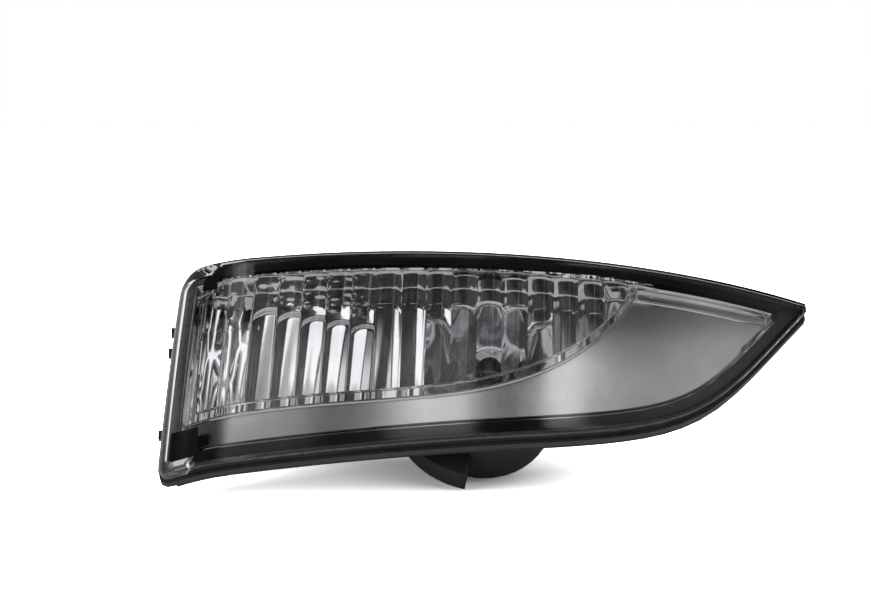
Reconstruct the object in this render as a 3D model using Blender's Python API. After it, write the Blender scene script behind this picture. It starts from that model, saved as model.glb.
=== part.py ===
"""Mirror turn signal lamp: clear wrap-round lens, black frame, silvered reflector,
black housing with a bulb can, twist-lock bulb holder and wedge bulb.

Metres, +Z up. The lamp is drawn in its own axes: x runs along the lamp to the
pointed tip, y runs from the lens to the back, z runs up the face. The empty
lamp_axes leans all of it back by LEAN. The origin lies on the bulb axis, where
it meets the lens.
"""
import math

import bmesh
import bpy
import numpy as np
from mathutils import Vector

for old in list(bpy.data.objects):
    bpy.data.objects.remove(old, do_unlink=True)

# Outline of the face, seen along the bulb axis
END_X = -0.0652            # blunt end, at the height of the origin
END_SLANT = 0.066          # how far the blunt end leans, metres per metre
END_TOP_Z = 0.0214
END_LOW_Z = -0.0240
TIP_X = 0.0656
TIP_Z = 0.0096
TIP_HEIGHT = 0.0016
TOP_HANDLES = ((-0.0250, 0.0226), (0.0310, 0.0196))
LOW_HANDLES = ((0.0456, -0.0140), (0.0440, -0.0182))
LOW_JOIN = (0.0115, -0.0202)   # where the curved lower edge meets the straight one
END_TOP_RADIUS = 0.0050
END_LOW_RADIUS = 0.0035
LEAST_RADIUS = 0.0010      # of a corner that is moved far inwards
EDGE_REACH = 0.0100        # how far the edges are drawn on past the blunt end

# Form of the face in depth
CROWN_LONG = 0.300         # radius of the face along the lamp
CROWN_TALL = 0.140         # radius of the face across it
CROWN_X = 0.008
CROWN_Z = 0.002
ROLL_LENGTH = 0.0155       # stretch over which the lens rolls round the blunt end
ROLL_DEPTH = 0.0060
ROLL_THINNING = 0.0012     # how much thinner the skin gets, in depth, at the blunt end
ROLL_RIM = 0.0042          # how far the parting face drops with it

# Lens, frame and bead
GAP = 0.0003               # assembly gap between neighbouring pieces
LENS_SKIN = 0.0019
LENS_EDGE = 0.0009         # rounded front edge of the lens
LENS_SKIRT = 0.0017        # wall of the lens at the blunt end
SKIRT_CLEARANCE = 0.0006   # from the frame to where the skirt starts
SKIRT_RUN_OUT = 0.0012
SKIRT_BLEND = 0.0100       # stretch about the middle over which the skirt's ends turn in
RIM_DEPTH = 0.0032         # front of the face to the parting face
FLUTE_PITCH = 0.0051
FLUTE_COUNT = 18
FLUTE_RISE = 0.0007
FLUTE_PAD = 0.0003         # step at the edge of the field of flutes
FLUTE_START_X = -0.0582
FLUTE_MARGIN = 0.0011      # from the edge of the inside face to the flutes
LENS_LIP = 0.0004          # wall of the lens where the frame lies under it
LENS_FILLET = 0.0008       # inside corner of the skirt
FRAME_WIDTH_TOP = 0.0031
FRAME_WIDTH_LOW = 0.0034
FRAME_END_X = -0.0570      # where the band tucks in behind the skirt
FOOT_REACH_LOW = 0.0084    # how far from the blunt end the feet reach
FOOT_REACH_TOP = 0.0089
FOOT_START_TOP = 0.0059
FOOT_LOW_Z = -0.0150       # how high the lower foot climbs
FOOT_TOP_Z = 0.0160        # how low the upper foot hangs
BEAD_THICKNESS = 0.0006
BEAD_WIDTH = 0.0012
BEAD_INSET = 0.0004

# Reflector
RECESS_HANDLES = ((0.0110, -0.0196), (-0.0228, -0.0064))
RECESS_RIGHT = (0.0312, 0.0128)
RECESS_END_Z = -0.0136
REFLECTOR_WALL = 0.0014
BLADE_DEPTH = 0.0052       # silver blade behind the front of the face
TROUGH_DEPTH = 0.0102
BOWL_RADIUS = 0.0140
BOWL_FOCUS = 0.0042
BOWL_SIDES = 40
BOWL_RINGS = 7
BOWL_OVERRUN = 0.0004      # the bowl's cut starts this far in front of the trough
REFLECTOR_INSET = 0.0020
REFLECTOR_RIM = 0.0010     # thickness of the rim
RECESS_FADE = 0.0040       # the step dies away over this length at its right end
STEP_DRAFT = 0.0005
STEP_MARGIN = 0.0024       # least height of the recess under the top wall
END_DRAFT = 0.0007
REACH_PAST = 0.0010        # how far a cutter runs past what it cuts
BULB_OPENING = 0.0062      # radius of the hole that the bulb passes through
BULB_Z = -0.0011

# Housing
HOUSING_WALL = 0.0017
NUB_HEIGHTS = (0.0098, 0.0050, -0.0132)
NUB_REACH = 0.0008
NUB_HEIGHT = 0.0018
NUB_STEP = 0.0003          # how much thinner a nub is than the flange, on each face
REFLECTOR_CLEARANCE = 0.0004
CAVITY_STEP = 0.0018       # lip inside the flange, measured from the reflector's rim
BORE_TAPER = 0.0004
TRAY_INSET = 0.0006
TRAY_INSET_LOW = 0.0024
FLANGE_PROUD = 0.0003
FLANGE_THICKNESS = 0.0021
CAN_MARGIN = 0.0012        # outer radius of the bulb can over that of the bowl
CAN_FLARE = 0.0006
CAN_LENGTH = 0.0360        # from the front of the face
CAN_END_WALL = 0.0024
CAN_ROUND = 0.0008
GUARD_HEIGHT = 0.0051      # how far the guard stands out from the can
GUARD_BACK = 0.0062        # from the rear face of the can to the guard
GUARD_LENGTH = 0.0083
GUARD_START = 213.0        # degrees round the bulb axis
GUARD_STOP = 258.0
PIN_RADIUS = 0.0024
PIN_X = -0.0480
PIN_Z = -0.0020
PIN_TIP_Y = 0.0290
PIN_ROUND = 0.0008
BOSS_X = 0.0400
BOSS_Z = 0.0020
BOSS_RADIUS = 0.0036
BOSS_TAPER = 0.0003
BOSS_BACK_Y = 0.0200
BOSS_HOLE = 0.0015
BOSS_HOLE_DEPTH = 0.0065
WEB_THICKNESS = 0.0012     # webs round the screw boss
WEB_REACH = 0.0030
WEB_DROP = 0.0022          # from the seat of the boss to the top of its webs
RIB_THICKNESS = 0.0014     # ribs from the can to the tray
RIB_REACH = 0.0085
RIB_DROP = 0.0100          # from the rear face of the can to the top of a rib

GASKET_THICKNESS = 0.0010
GASKET_WIDTH = 0.0016
GASKET_INSET = 0.0002

# Bulb holder, seal and contacts
HOLDER_RADIUS = 0.0094
HOLDER_FLANGE = 0.0024
HOLDER_CLEARANCE = 0.0012  # from the back of the bowl to the holder
HOLDER_FLOOR = 0.0058      # between the pocket of the bulb and the connector shroud
HOLDER_ROUND = 0.0006
BAYONET_RADIUS = 0.0114
BAYONET_ANGLE = 24.0       # width of a bayonet lug, degrees
BAYONET_ANGLES = (90.0, 210.0, 330.0)
BAYONET_TURN = 45.0        # from the locked place to the notches
BAYONET_PLAY = 2.0
BAYONET_LENGTH = 0.0026
SEAL_THICKNESS = 0.0014
SEAL_WIDTH = 0.0024
SHROUD_WIDTH = 0.0160
SHROUD_HEIGHT = 0.0112
SHROUD_LENGTH = 0.0095
SHROUD_WALL = 0.0014
KEY_WIDTH = 0.0040         # key on top of the shroud
KEY_HEIGHT = 0.0014
KEY_SHORT = 0.0020
HOLDER_WEB = 0.0022
SLOT_PLAY = 0.00032
CONTACT_THICKNESS = 0.0006
CONTACT_LEAD_IN = 0.0012
CONTACT_WIDTH = 0.0040
CONTACT_REACH = 0.0070     # how far each blade stands into the connector shroud

# Wedge bulb
GLASS_RADIUS = 0.0051
GLASS_WALL = 0.0006
GLASS_WAIST = 0.86         # radius at the shoulder over that of the dome
GLASS_TAPER = 0.0025
GLASS_NECK = 0.0028
BULB_LENGTH = 0.0260
SHOULDER_LENGTH = 0.0120   # from the end of the wedge to the shoulder of the glass
WEDGE_LENGTH = 0.0093
WEDGE_HALF_WIDTH = 0.0048
WEDGE_HALF_THICKNESS = 0.0013
WEDGE_ROOT = 0.0022        # how far the wedge runs into the glass
PINCH_HALF_WIDTH = 0.0024
PINCH_HALF_HEIGHT = 0.0005
LEAD_RADIUS = 0.00022
LEAD_FOLD = 0.0045
LEAD_BEND = 0.0006
LEAD_SPREAD = 0.0019
FILAMENT_LENGTH = 0.0183   # from the end of the wedge to the filament
FILAMENT_TURNS = 7
FILAMENT_COIL = 0.00045
FILAMENT_WIRE = 0.00009

LEAN = math.radians(33.0)

axes = bpy.data.objects.new("lamp_axes", None)
axes.empty_display_size = 0.02
axes.rotation_euler = (-LEAN, 0.0, 0.0)
bpy.context.scene.collection.objects.link(axes)


# Materials and objects

def finish(name, colour, roughness, metallic=0.0, transmission=0.0):
    """One Principled finish."""
    material = bpy.data.materials.new(name)
    material.use_nodes = True
    shader = material.node_tree.nodes["Principled BSDF"]
    shader.inputs["Base Color"].default_value = (*colour, 1.0)
    shader.inputs["Roughness"].default_value = roughness
    shader.inputs["Metallic"].default_value = metallic
    shader.inputs["Transmission Weight"].default_value = transmission
    return material


def add_object(name, mesh, material, smooth=30.0):
    """Puts a mesh on the lamp's own axes."""
    mesh.shade_smooth()
    mesh.set_sharp_from_angle(angle=math.radians(smooth))
    mesh.materials.append(material)
    thing = bpy.data.objects.new(name, mesh)
    thing.parent = axes
    bpy.context.scene.collection.objects.link(thing)
    return thing


def mesh_from_bmesh(name, bm):
    """Closes a bmesh into a mesh with its faces pointing out."""
    bmesh.ops.recalc_face_normals(bm, faces=bm.faces)
    mesh = bpy.data.meshes.new(name)
    bm.to_mesh(mesh)
    bm.free()
    return mesh


def tool(name, mesh):
    """A cutter or an added form that is left out of the build."""
    thing = bpy.data.objects.new(name, mesh)
    thing.parent = axes
    thing.hide_render = True
    thing.display_type = "WIRE"
    bpy.context.scene.collection.objects.link(thing)
    return thing


def combine(body, operation, *meshes):
    """Adds or cuts forms on a body with exact Booleans."""
    for mesh in meshes:
        step = body.modifiers.new(operation.lower(), "BOOLEAN")
        step.operation = operation
        step.solver = "EXACT"
        step.object = tool(f"{body.name}_{mesh.name}", mesh)


def weld(body):
    """Joins the doubled points that Booleans leave along a seam."""
    step = body.modifiers.new("weld", "WELD")
    step.merge_threshold = 0.000003
    return body


def box_mesh(name, low, high):
    """A block between two corners."""
    bm = bmesh.new()
    bmesh.ops.create_cube(bm, size=1.0)
    low, high = Vector(low), Vector(high)
    for vert in bm.verts:
        vert.co = Vector((low[k] + (vert.co[k] + 0.5) * (high[k] - low[k]) for k in range(3)))
    return mesh_from_bmesh(name, bm)


def turned_mesh(name, profile, segments, centre=(0.0, BULB_Z)):
    """Revolves (radius, y) points about an axis along y. Points at radius 0 close the ends;
    a profile that comes back to its start is a ring."""
    bm = bmesh.new()
    closed = profile[0] == profile[-1]
    points = profile[:-1] if closed else profile
    rings = []
    for radius, y in points:
        if radius == 0.0:
            rings.append([bm.verts.new((centre[0], y, centre[1]))])
            continue
        ring = []
        for k in range(segments):
            angle = 2.0 * math.pi * k / segments
            place = (centre[0] + radius * math.cos(angle), y, centre[1] + radius * math.sin(angle))
            ring.append(bm.verts.new(place))
        rings.append(ring)
    pairs = list(zip(rings, rings[1:] + rings[:1])) if closed else list(zip(rings, rings[1:]))
    for first, second in pairs:
        for k in range(segments):
            n = (k + 1) % segments
            corners = [first[k % len(first)], first[n % len(first)],
                       second[n % len(second)], second[k % len(second)]]
            face = list(dict.fromkeys(corners))
            if len(face) > 2:
                bm.faces.new(face)
    return mesh_from_bmesh(name, bm)


def wire_object(name, points, radius, sides, material):
    """A round wire along a run of points, with closed ends."""
    curve = bpy.data.curves.new(name, "CURVE")
    curve.dimensions = "3D"
    curve.bevel_depth = radius
    curve.bevel_resolution = sides
    curve.use_fill_caps = True
    run = curve.splines.new("POLY")
    run.points.add(len(points) - 1)
    for point, place in zip(run.points, points):
        point.co = (*place, 1.0)
    curve.materials.append(material)
    thing = bpy.data.objects.new(name, curve)
    thing.parent = axes
    bpy.context.scene.collection.objects.link(thing)
    return thing


# The outline, its insets and the form of the face

def bezier(points, count=200):
    """Points along a cubic Bezier curve."""
    t = np.linspace(0.0, 1.0, count)[:, None]
    a, b, c, d = (np.array(p) for p in points)
    return (1 - t) ** 3 * a + 3 * (1 - t) ** 2 * t * b + 3 * (1 - t) * t * t * c + t ** 3 * d


def outer_edges():
    """Top and lower edge of the face, each from the blunt end to the tip."""
    reach = END_X - EDGE_REACH
    top = bezier(((END_X, END_TOP_Z), *TOP_HANDLES, (TIP_X, TIP_Z + TIP_HEIGHT / 2)))
    top = np.vstack([[reach, top[0, 1] - EDGE_REACH * (top[1, 1] - top[0, 1]) / (top[1, 0] - top[0, 0])], top])
    curved = bezier(((TIP_X, TIP_Z - TIP_HEIGHT / 2), *LOW_HANDLES, LOW_JOIN))[::-1]
    slope = (LOW_JOIN[1] - END_LOW_Z) / (LOW_JOIN[0] - END_X)
    straight = np.linspace((reach, END_LOW_Z - EDGE_REACH * slope), LOW_JOIN, 60)[:-1]
    return top, np.vstack([straight, curved])


def inset_edge(edge, distance):
    """Moves an edge sideways by a distance, to the left of its direction where positive."""
    along = np.gradient(edge, axis=0)
    along /= np.linalg.norm(along, axis=1)[:, None]
    moved = edge + distance * np.column_stack([-along[:, 1], along[:, 0]])
    keep = np.r_[True, np.diff(moved[:, 0]) > 0]
    return moved[keep]


class Leaf:
    """The face outline moved inwards: edges as heights over x, blunt end, tip and corners."""

    def __init__(self, inset, top=None, low=None, end=None):
        upper, lower = outer_edges()
        self.top_edge = inset_edge(upper, -(inset if top is None else top))
        self.low_edge = inset_edge(lower, inset if low is None else low)
        self.end = END_X + (inset if end is None else end)
        x = np.linspace(END_X, TIP_X, 2000) - min(inset, 0.0) * np.linspace(0, 1, 2000)
        wide = self.top(x) - self.low(x) > TIP_HEIGHT * 0.999
        self.tip = x[wide].max()
        self.top_radius = max(END_TOP_RADIUS - max(inset, 0.0), LEAST_RADIUS)
        self.low_radius = max(END_LOW_RADIUS - max(inset, 0.0), LEAST_RADIUS)

    def top(self, x):
        return np.interp(x, self.top_edge[:, 0], self.top_edge[:, 1])

    def low(self, x):
        return np.interp(x, self.low_edge[:, 0], self.low_edge[:, 1])


def slant(station):
    """Lean of the stations: that of the blunt end, dying away to none at the tip."""
    return END_SLANT * np.clip((TIP_X - station) / (TIP_X - END_X), 0.0, 1.0)


def corner(from_end, radius):
    """How far a rounded corner pulls an edge in, at a distance from the blunt end."""
    c = 1.0 - np.clip(from_end / radius, 0.0, 1.0)
    return radius * (1.0 - np.sqrt(1.0 - c * c))


def place(leaf, station, level, rows=None):
    """x and z of points given by station, 0 at the end and 1 at the tip, and level,
    0 at the lower edge and 1 at the top; rows may bend the levels to the recess."""
    s = leaf.end + (leaf.tip - leaf.end) * station
    x = s.copy()
    for _ in range(8):
        top = leaf.top(x) - corner(s - leaf.end, leaf.top_radius)
        low = leaf.low(x) + corner(s - leaf.end, leaf.low_radius)
        z = low + (top - low) * level if rows is None else rows(x, low, top, level)
        x = s + slant(s) * z
    return x, z


def crown(x, z):
    """Gentle barrel form of the face."""
    return (x - CROWN_X) ** 2 / (2 * CROWN_LONG) + (z - CROWN_Z) ** 2 / (2 * CROWN_TALL)


def end_share(x, z):
    """0 where the blunt end starts to roll back, 1 at its edge."""
    return np.clip((END_X + END_SLANT * z + ROLL_LENGTH - x) / ROLL_LENGTH, 0.0, 1.0)


def roll(x, z):
    """Quarter ellipse from 0 to 1 over the blunt end."""
    return 1.0 - np.sqrt(1.0 - end_share(x, z) ** 2)


def skin(x, z):
    """Front surface of the lens."""
    return crown(x, z) + ROLL_DEPTH * roll(x, z)


def lens_back(x, z):
    """Inner surface of the lens, between its flutes."""
    rolled = crown(x, z) + (ROLL_DEPTH - ROLL_THINNING) * roll(x - LENS_SKIRT, z)
    return rolled + LENS_SKIN


def rim(x, z):
    """Surface that the parting faces are measured from; it drops at the blunt end."""
    return crown(x, z) + ROLL_RIM * end_share(x, z) ** 2


def recess_edge(x, shift=0.0):
    """Lower edge of the reflector's recess, moved down by a shift."""
    curve = bezier(((END_X, RECESS_END_Z), *RECESS_HANDLES[::-1], RECESS_RIGHT))
    moved = inset_edge(curve, -shift)
    return np.interp(x, moved[:, 0], moved[:, 1])


# Lofted shells: a grid of points with loops of points round it

def edge_loop(rows, columns):
    """Row and column numbers once round the edge of a grid."""
    low = [(0, j) for j in range(columns)]
    tip = [(i, columns - 1) for i in range(1, rows)]
    top = [(rows - 1, j) for j in range(columns - 2, -1, -1)]
    end = [(i, 0) for i in range(rows - 2, 0, -1)]
    return np.array(low + tip + top + end)


def loft(name, front, back):
    """Closed body between two faces. Each face is its loops, outermost first, and its grid."""
    bm = bmesh.new()
    outer = []
    for loops, grid in (front, back):
        rows, columns = grid[0].shape
        points = np.stack(grid, axis=-1)
        verts = [[bm.verts.new(points[i, j]) for j in range(columns)] for i in range(rows)]
        for i in range(rows - 1):
            for j in range(columns - 1):
                bm.faces.new((verts[i][j], verts[i][j + 1], verts[i + 1][j + 1], verts[i + 1][j]))
        inner = [verts[i][j] for i, j in edge_loop(rows, columns)]
        for loop in loops[::-1]:
            ring = [bm.verts.new(p) for p in np.stack(loop, axis=-1)]
            bridge(bm, inner, ring)
            inner = ring
        outer.append(inner)
    bridge(bm, *outer)
    return mesh_from_bmesh(name, bm)


def bridge(bm, first, second):
    """Quads between two loops with as many points each."""
    count = len(first)
    for k in range(count):
        n = (k + 1) % count
        bm.faces.new((first[k], first[n], second[n], second[k]))


def corner_stations(length, radius):
    """Stations that follow a rounded corner at the blunt end."""
    return [radius * (1 - math.cos(math.radians(a))) / length for a in (0, 26, 48, 70, 90)]


# The pieces

def outer_lens():
    """Clear lens: a skin that rolls round the blunt end, with upright flutes inside,
    over the recess, and a skirt at the blunt end alone."""
    outside = Leaf(LENS_EDGE, end=LENS_EDGE)
    inside = Leaf(LENS_SKIRT + LENS_FILLET)
    length = outside.tip - outside.end
    ticks = FLUTE_START_X + FLUTE_PITCH * np.arange(0, FLUTE_COUNT * 4 + 1) / 4
    right = np.linspace(ticks[-1] + FLUTE_PITCH / 2, outside.tip - TIP_HEIGHT, 8)
    skirt = FRAME_END_X - SKIRT_CLEARANCE - np.array([SKIRT_RUN_OUT, 0.0])
    s = np.r_[(np.sort(np.r_[skirt, ticks, right]) - outside.end) / length, 1.0]
    first = [v for v in corner_stations(length, outside.top_radius) if v < s[0] - FLUTE_PITCH / (3 * length)]
    stations = np.r_[first, s]
    levels = np.array([0.0, 0.15, 0.30, 0.32, 0.52, 0.73, 0.94, 0.96, 1.0])
    S, L = np.meshgrid(stations, levels)

    def rows(x, low, top, level):
        edge = np.minimum(recess_edge(x), top - np.minimum(STEP_MARGIN, 0.5 * (top - low)))
        split = 0.30
        below = low + (edge - low) * np.clip(level / split, 0, 1)
        return below + (top - edge) * np.clip((level - split) / (1 - split), 0, 1)

    def surface(leaf):
        return place(leaf, S, L, rows)

    loop = edge_loop(*S.shape)
    s_loop, l_loop = S[loop[:, 0], loop[:, 1]], L[loop[:, 0], loop[:, 1]]
    x, z = surface(outside)
    x_in, z_in = surface(inside)
    phase = ((x_in - slant(x_in) * z_in - FLUTE_START_X) / FLUTE_PITCH) % 1.0 - 0.5
    zone = (L >= 0.32) & (L <= 0.94) & (x_in < FLUTE_START_X + FLUTE_PITCH * FLUTE_COUNT)
    zone &= (x_in > FLUTE_START_X) & (inside.top(x_in) - z_in > FLUTE_MARGIN)
    foot_end = END_X + END_SLANT * z_in + FOOT_REACH_TOP + FLUTE_PITCH / 4
    zone &= (x_in > foot_end) | (z_in < FOOT_TOP_Z - 2 * FLUTE_MARGIN)
    flute = (FLUTE_PAD + FLUTE_RISE * (1.0 - 4.0 * phase ** 2)) * zone
    y_in = lens_back(x_in, z_in)
    rx, rz = place(Leaf(0.0), s_loop, l_loop, rows)
    qx, qz = place(Leaf(LENS_SKIRT, top=LENS_LIP, low=LENS_LIP), s_loop, l_loop, rows)
    end = np.clip((FRAME_END_X - SKIRT_CLEARANCE - rx + END_SLANT * rz) / SKIRT_RUN_OUT, 0.0, 1.0)
    reach = (1 - end) * (skin(rx, rz) + LENS_SKIN - LENS_LIP) + end * (rim(rx, rz) + RIM_DEPTH)
    wide = LENS_SKIRT - LENS_LIP
    qz = qz + end * wide * np.clip((CROWN_Z - qz) / SKIRT_BLEND, -1.0, 1.0)
    q_end = np.clip((FRAME_END_X - SKIRT_CLEARANCE - qx + END_SLANT * qz) / SKIRT_RUN_OUT, 0.0, 1.0)
    inner_reach = (1 - q_end) * (skin(qx, qz) + LENS_SKIN) + q_end * (rim(qx, qz) + RIM_DEPTH)
    mesh = loft("outer_lens",
                ([(rx, reach, rz), (rx, skin(rx, rz) + LENS_EDGE * 0.8, rz)], (x, skin(x, z), z)),
                ([(qx, inner_reach, qz)], (x_in, y_in + flute, z_in)))
    return add_object("outer_lens", mesh, finish("clear_acrylic", (0.93, 0.94, 0.95), 0.04, 0.0, 1.0))


def lens_frame():
    """Black second shot under the edge of the lens: a band along the lower edge, round
    the tip and back along the top, with a foot at each end, which climbs up the blunt
    end at the bottom and hangs down at the top. The rest of the blunt end is open."""
    tuck = LENS_SKIRT + LENS_FILLET + GAP
    low_side = Leaf(GAP), Leaf(tuck), Leaf(FRAME_WIDTH_LOW, end=FOOT_REACH_LOW)
    top_side = Leaf(GAP, end=FOOT_START_TOP), Leaf(tuck, end=FOOT_START_TOP), \
        Leaf(FRAME_WIDTH_TOP, low=FRAME_WIDTH_LOW, end=FOOT_REACH_TOP)

    def run(leaf, level, end_z):
        leaf.top_radius = LEAST_RADIUS
        first = leaf.end + np.array(corner_stations(1.0, leaf.low_radius))
        marks = (FRAME_END_X - SKIRT_RUN_OUT, FRAME_END_X)
        marks = np.maximum(marks, first[-1] + SKIRT_RUN_OUT * np.array([0.25, 0.5]))
        stops = np.r_[leaf.end, leaf.end, first, marks, np.linspace(marks[-1], leaf.tip, 25)[1:]]
        low = leaf.low(leaf.end) + leaf.low_radius
        end_level = (end_z - low) / (leaf.top(leaf.end) - leaf.top_radius - low)
        levels = np.r_[end_level, (level + end_level) / 2, np.full(len(stops) - 2, level)]
        return place(leaf, (stops - leaf.end) / (leaf.tip - leaf.end), levels)

    def side(leaves, level, end_z):
        slim, tucked, window = (run(leaf, level, end_z) for leaf in leaves)
        share = np.clip((tucked[0] - END_SLANT * tucked[1] - FRAME_END_X) / SKIRT_RUN_OUT + 1.0, 0.0, 1.0)
        return [q + (p - q) * share for p, q in zip(slim, tucked)], window

    low_outline, low_inner = side(low_side, 0.0, FOOT_LOW_Z)
    top_outline, top_inner = side(top_side, 1.0, FOOT_TOP_Z)
    outline = [np.r_[low, top[::-1]] for low, top in zip(low_outline, top_outline)]
    inner = [np.r_[low, top[::-1]] for low, top in zip(low_inner, top_inner)]
    bm = bmesh.new()
    runs = []
    for x, z in (outline, inner):
        front = np.maximum(skin(x, z) + LENS_SKIN, lens_back(x, z)) + GAP
        back = rim(x, z) + RIM_DEPTH
        runs.append([bm.verts.new(p) for p in np.column_stack([x, front, z])])
        runs.append([bm.verts.new(p) for p in np.column_stack([x, back, z])])
    section = [runs[0], runs[1], runs[3], runs[2]]
    for first, second in zip(section, section[1:] + section[:1]):
        for k in range(len(first) - 1):
            bm.faces.new((first[k], first[k + 1], second[k + 1], second[k]))
    bm.faces.new([run[0] for run in section])
    bm.faces.new([run[-1] for run in section[::-1]])
    mesh = mesh_from_bmesh("lens_frame", bm)
    return add_object("lens_frame", mesh, finish("black_gloss", (0.012, 0.012, 0.013), 0.12))


def ring_points(leaf, depth, stations, levels):
    """A loop of points once round a leaf at a depth behind the rim surface."""
    loop = edge_loop(len(levels), len(stations))
    x, z = place(leaf, stations[loop[:, 1]], levels[loop[:, 0]])
    return x, rim(x, z) + depth, z


def sealant_bead():
    """Thin bead of sealant between the lens and the housing, all the way round."""
    outside = Leaf(BEAD_INSET)
    inside = Leaf(BEAD_INSET + BEAD_WIDTH)
    first = corner_stations(outside.tip - outside.end, outside.top_radius)
    stations = np.r_[first, np.linspace(first[-1], 1.0, 34)[1:]]
    levels = np.linspace(0.0, 1.0, 9)
    front = RIM_DEPTH + GAP
    back = front + BEAD_THICKNESS
    bm = bmesh.new()
    loops = []
    for leaf, depth in ((outside, front), (inside, front), (inside, back), (outside, back)):
        points = np.column_stack(ring_points(leaf, depth, stations, levels))
        loops.append([bm.verts.new(p) for p in points])
    for first, second in zip(loops, loops[1:] + loops[:1]):
        bridge(bm, first, second)
    mesh = mesh_from_bmesh("sealant_bead", bm)
    return add_object("sealant_bead", mesh, finish("black_sealant", (0.02, 0.02, 0.02), 0.5))


def recess_face(leaf, extra, edge_depth):
    """Grid over a leaf with the recess stepped into it: a lip, the blade and the strip,
    then the step along the recess edge, the trough, and the walls at the top and at the
    blunt end. The face lies a distance extra behind the silvered face."""
    lip, split, foot, high = 0.07, 0.38, 0.40, 0.97
    levels = np.r_[0.0, lip, split, foot, np.linspace(foot, high, 5)[1:], 1.0]
    length = leaf.tip - leaf.end
    wall = END_DRAFT / length
    bends = corner_stations(length, leaf.top_radius)
    stations = [0.0] + [wall + b for b in bends]
    for stop, count in ((-BOWL_RADIUS, 8), (RECESS_RIGHT[0] - RECESS_FADE, 8), (RECESS_RIGHT[0], 3), (None, 6)):
        a = stations[-1]
        b = 1.0 if stop is None else (stop - leaf.end) / length
        stations += list(np.linspace(a, b, count + 1)[1:])
    S, L = np.meshgrid(np.array(stations), levels)

    def rows(x, low, top, level):
        taper = np.minimum(STEP_DRAFT, 0.1 * (top - low))
        edge = np.minimum(recess_edge(x, extra), top - np.minimum(STEP_MARGIN, 0.5 * (top - low)))
        below = low + (edge - low) * np.clip(level / split, 0.0, 1.0)
        step = taper * np.clip((level - split) / (foot - split), 0.0, 1.0)
        inner = (top - edge - 2 * taper) * np.clip((level - foot) / (high - foot), 0.0, 1.0)
        last = taper * np.clip((level - high) / (1.0 - high), 0.0, 1.0)
        return below + step + inner + last

    x, z = place(leaf, S, L, rows)
    blade = rim(x, z) + BLADE_DEPTH + extra
    floor = crown(x, z) + TROUGH_DEPTH + extra
    fade = np.clip((RECESS_RIGHT[0] - x) / RECESS_FADE, 0.0, 1.0)
    inside = (L >= foot) & (L <= high) & (S >= wall)
    y = np.where(inside, blade + (floor - blade) * fade, blade)
    border = np.zeros_like(inside)
    border[0] = border[-1] = True
    border[:, 0] = border[:, -1] = True
    y = np.where(border, rim(x, z) + edge_depth, y)
    loop = edge_loop(*S.shape)

    def ring(other, depth):
        rx, rz = place(other, S[loop[:, 0], loop[:, 1]], L[loop[:, 0], loop[:, 1]], rows)
        return rx, rim(rx, rz) + depth, rz

    return (x, y, z), ring


def bowl_radius(depth, extra):
    """Radius of the bowl's paraboloid at a depth, for the surface a distance extra outside it."""
    return (BOWL_RADIUS + extra) * math.sqrt(max(1.0 - (depth - TROUGH_DEPTH - extra) / BOWL_DEPTH, 0.0))


def bowl_solid(name, extra, front):
    """The bowl as a turned solid, from a depth in front to its pole."""
    pole = TROUGH_DEPTH + extra + BOWL_DEPTH
    depths = TROUGH_DEPTH + extra + BOWL_DEPTH * np.linspace(0.0, 1.0, BOWL_RINGS) ** 1.5
    profile = [(0.0, front), (BOWL_RADIUS + extra, front)]
    profile += [(bowl_radius(float(depth), extra), float(depth)) for depth in depths[:-1]]
    return turned_mesh(name, profile + [(0.0, pole)], BOWL_SIDES)


def above_recess_edge(name, shift):
    """A thick plate over all that lies above the recess edge, round the bowl."""
    reach = BOWL_RADIUS + 3 * REFLECTOR_WALL
    x = np.linspace(-reach, reach, 15)
    top = BULB_Z + reach
    bm = bmesh.new()
    runs = []
    for y in (BLADE_DEPTH, TROUGH_DEPTH + 2 * BOWL_DEPTH):
        runs.append([bm.verts.new((a, y, c)) for a, c in zip(x, recess_edge(x, shift))])
        runs.append([bm.verts.new((a, y, top)) for a in x])
    section = [runs[0], runs[1], runs[3], runs[2]]
    for first, second in zip(section, section[1:] + section[:1]):
        for k in range(len(x) - 1):
            bm.faces.new((first[k], first[k + 1], second[k + 1], second[k]))
    bm.faces.new([run[0] for run in section])
    bm.faces.new([run[-1] for run in section[::-1]])
    return mesh_from_bmesh(name, bm)


def trimmed_bowl(body, operation, name, extra, front):
    """Adds or cuts the bowl on a body, but only above the foot of the step."""
    combine(body, operation, bowl_solid(name, extra, front))
    solid = body.modifiers[-1].object
    combine(solid, "INTERSECT", above_recess_edge("part_above", extra - STEP_DRAFT))


BOWL_DEPTH = BOWL_RADIUS ** 2 / (4 * BOWL_FOCUS)
BOWL_POLE = TROUGH_DEPTH + BOWL_DEPTH + REFLECTOR_WALL
REFLECTOR_EDGE = RIM_DEPTH + GAP


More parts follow.
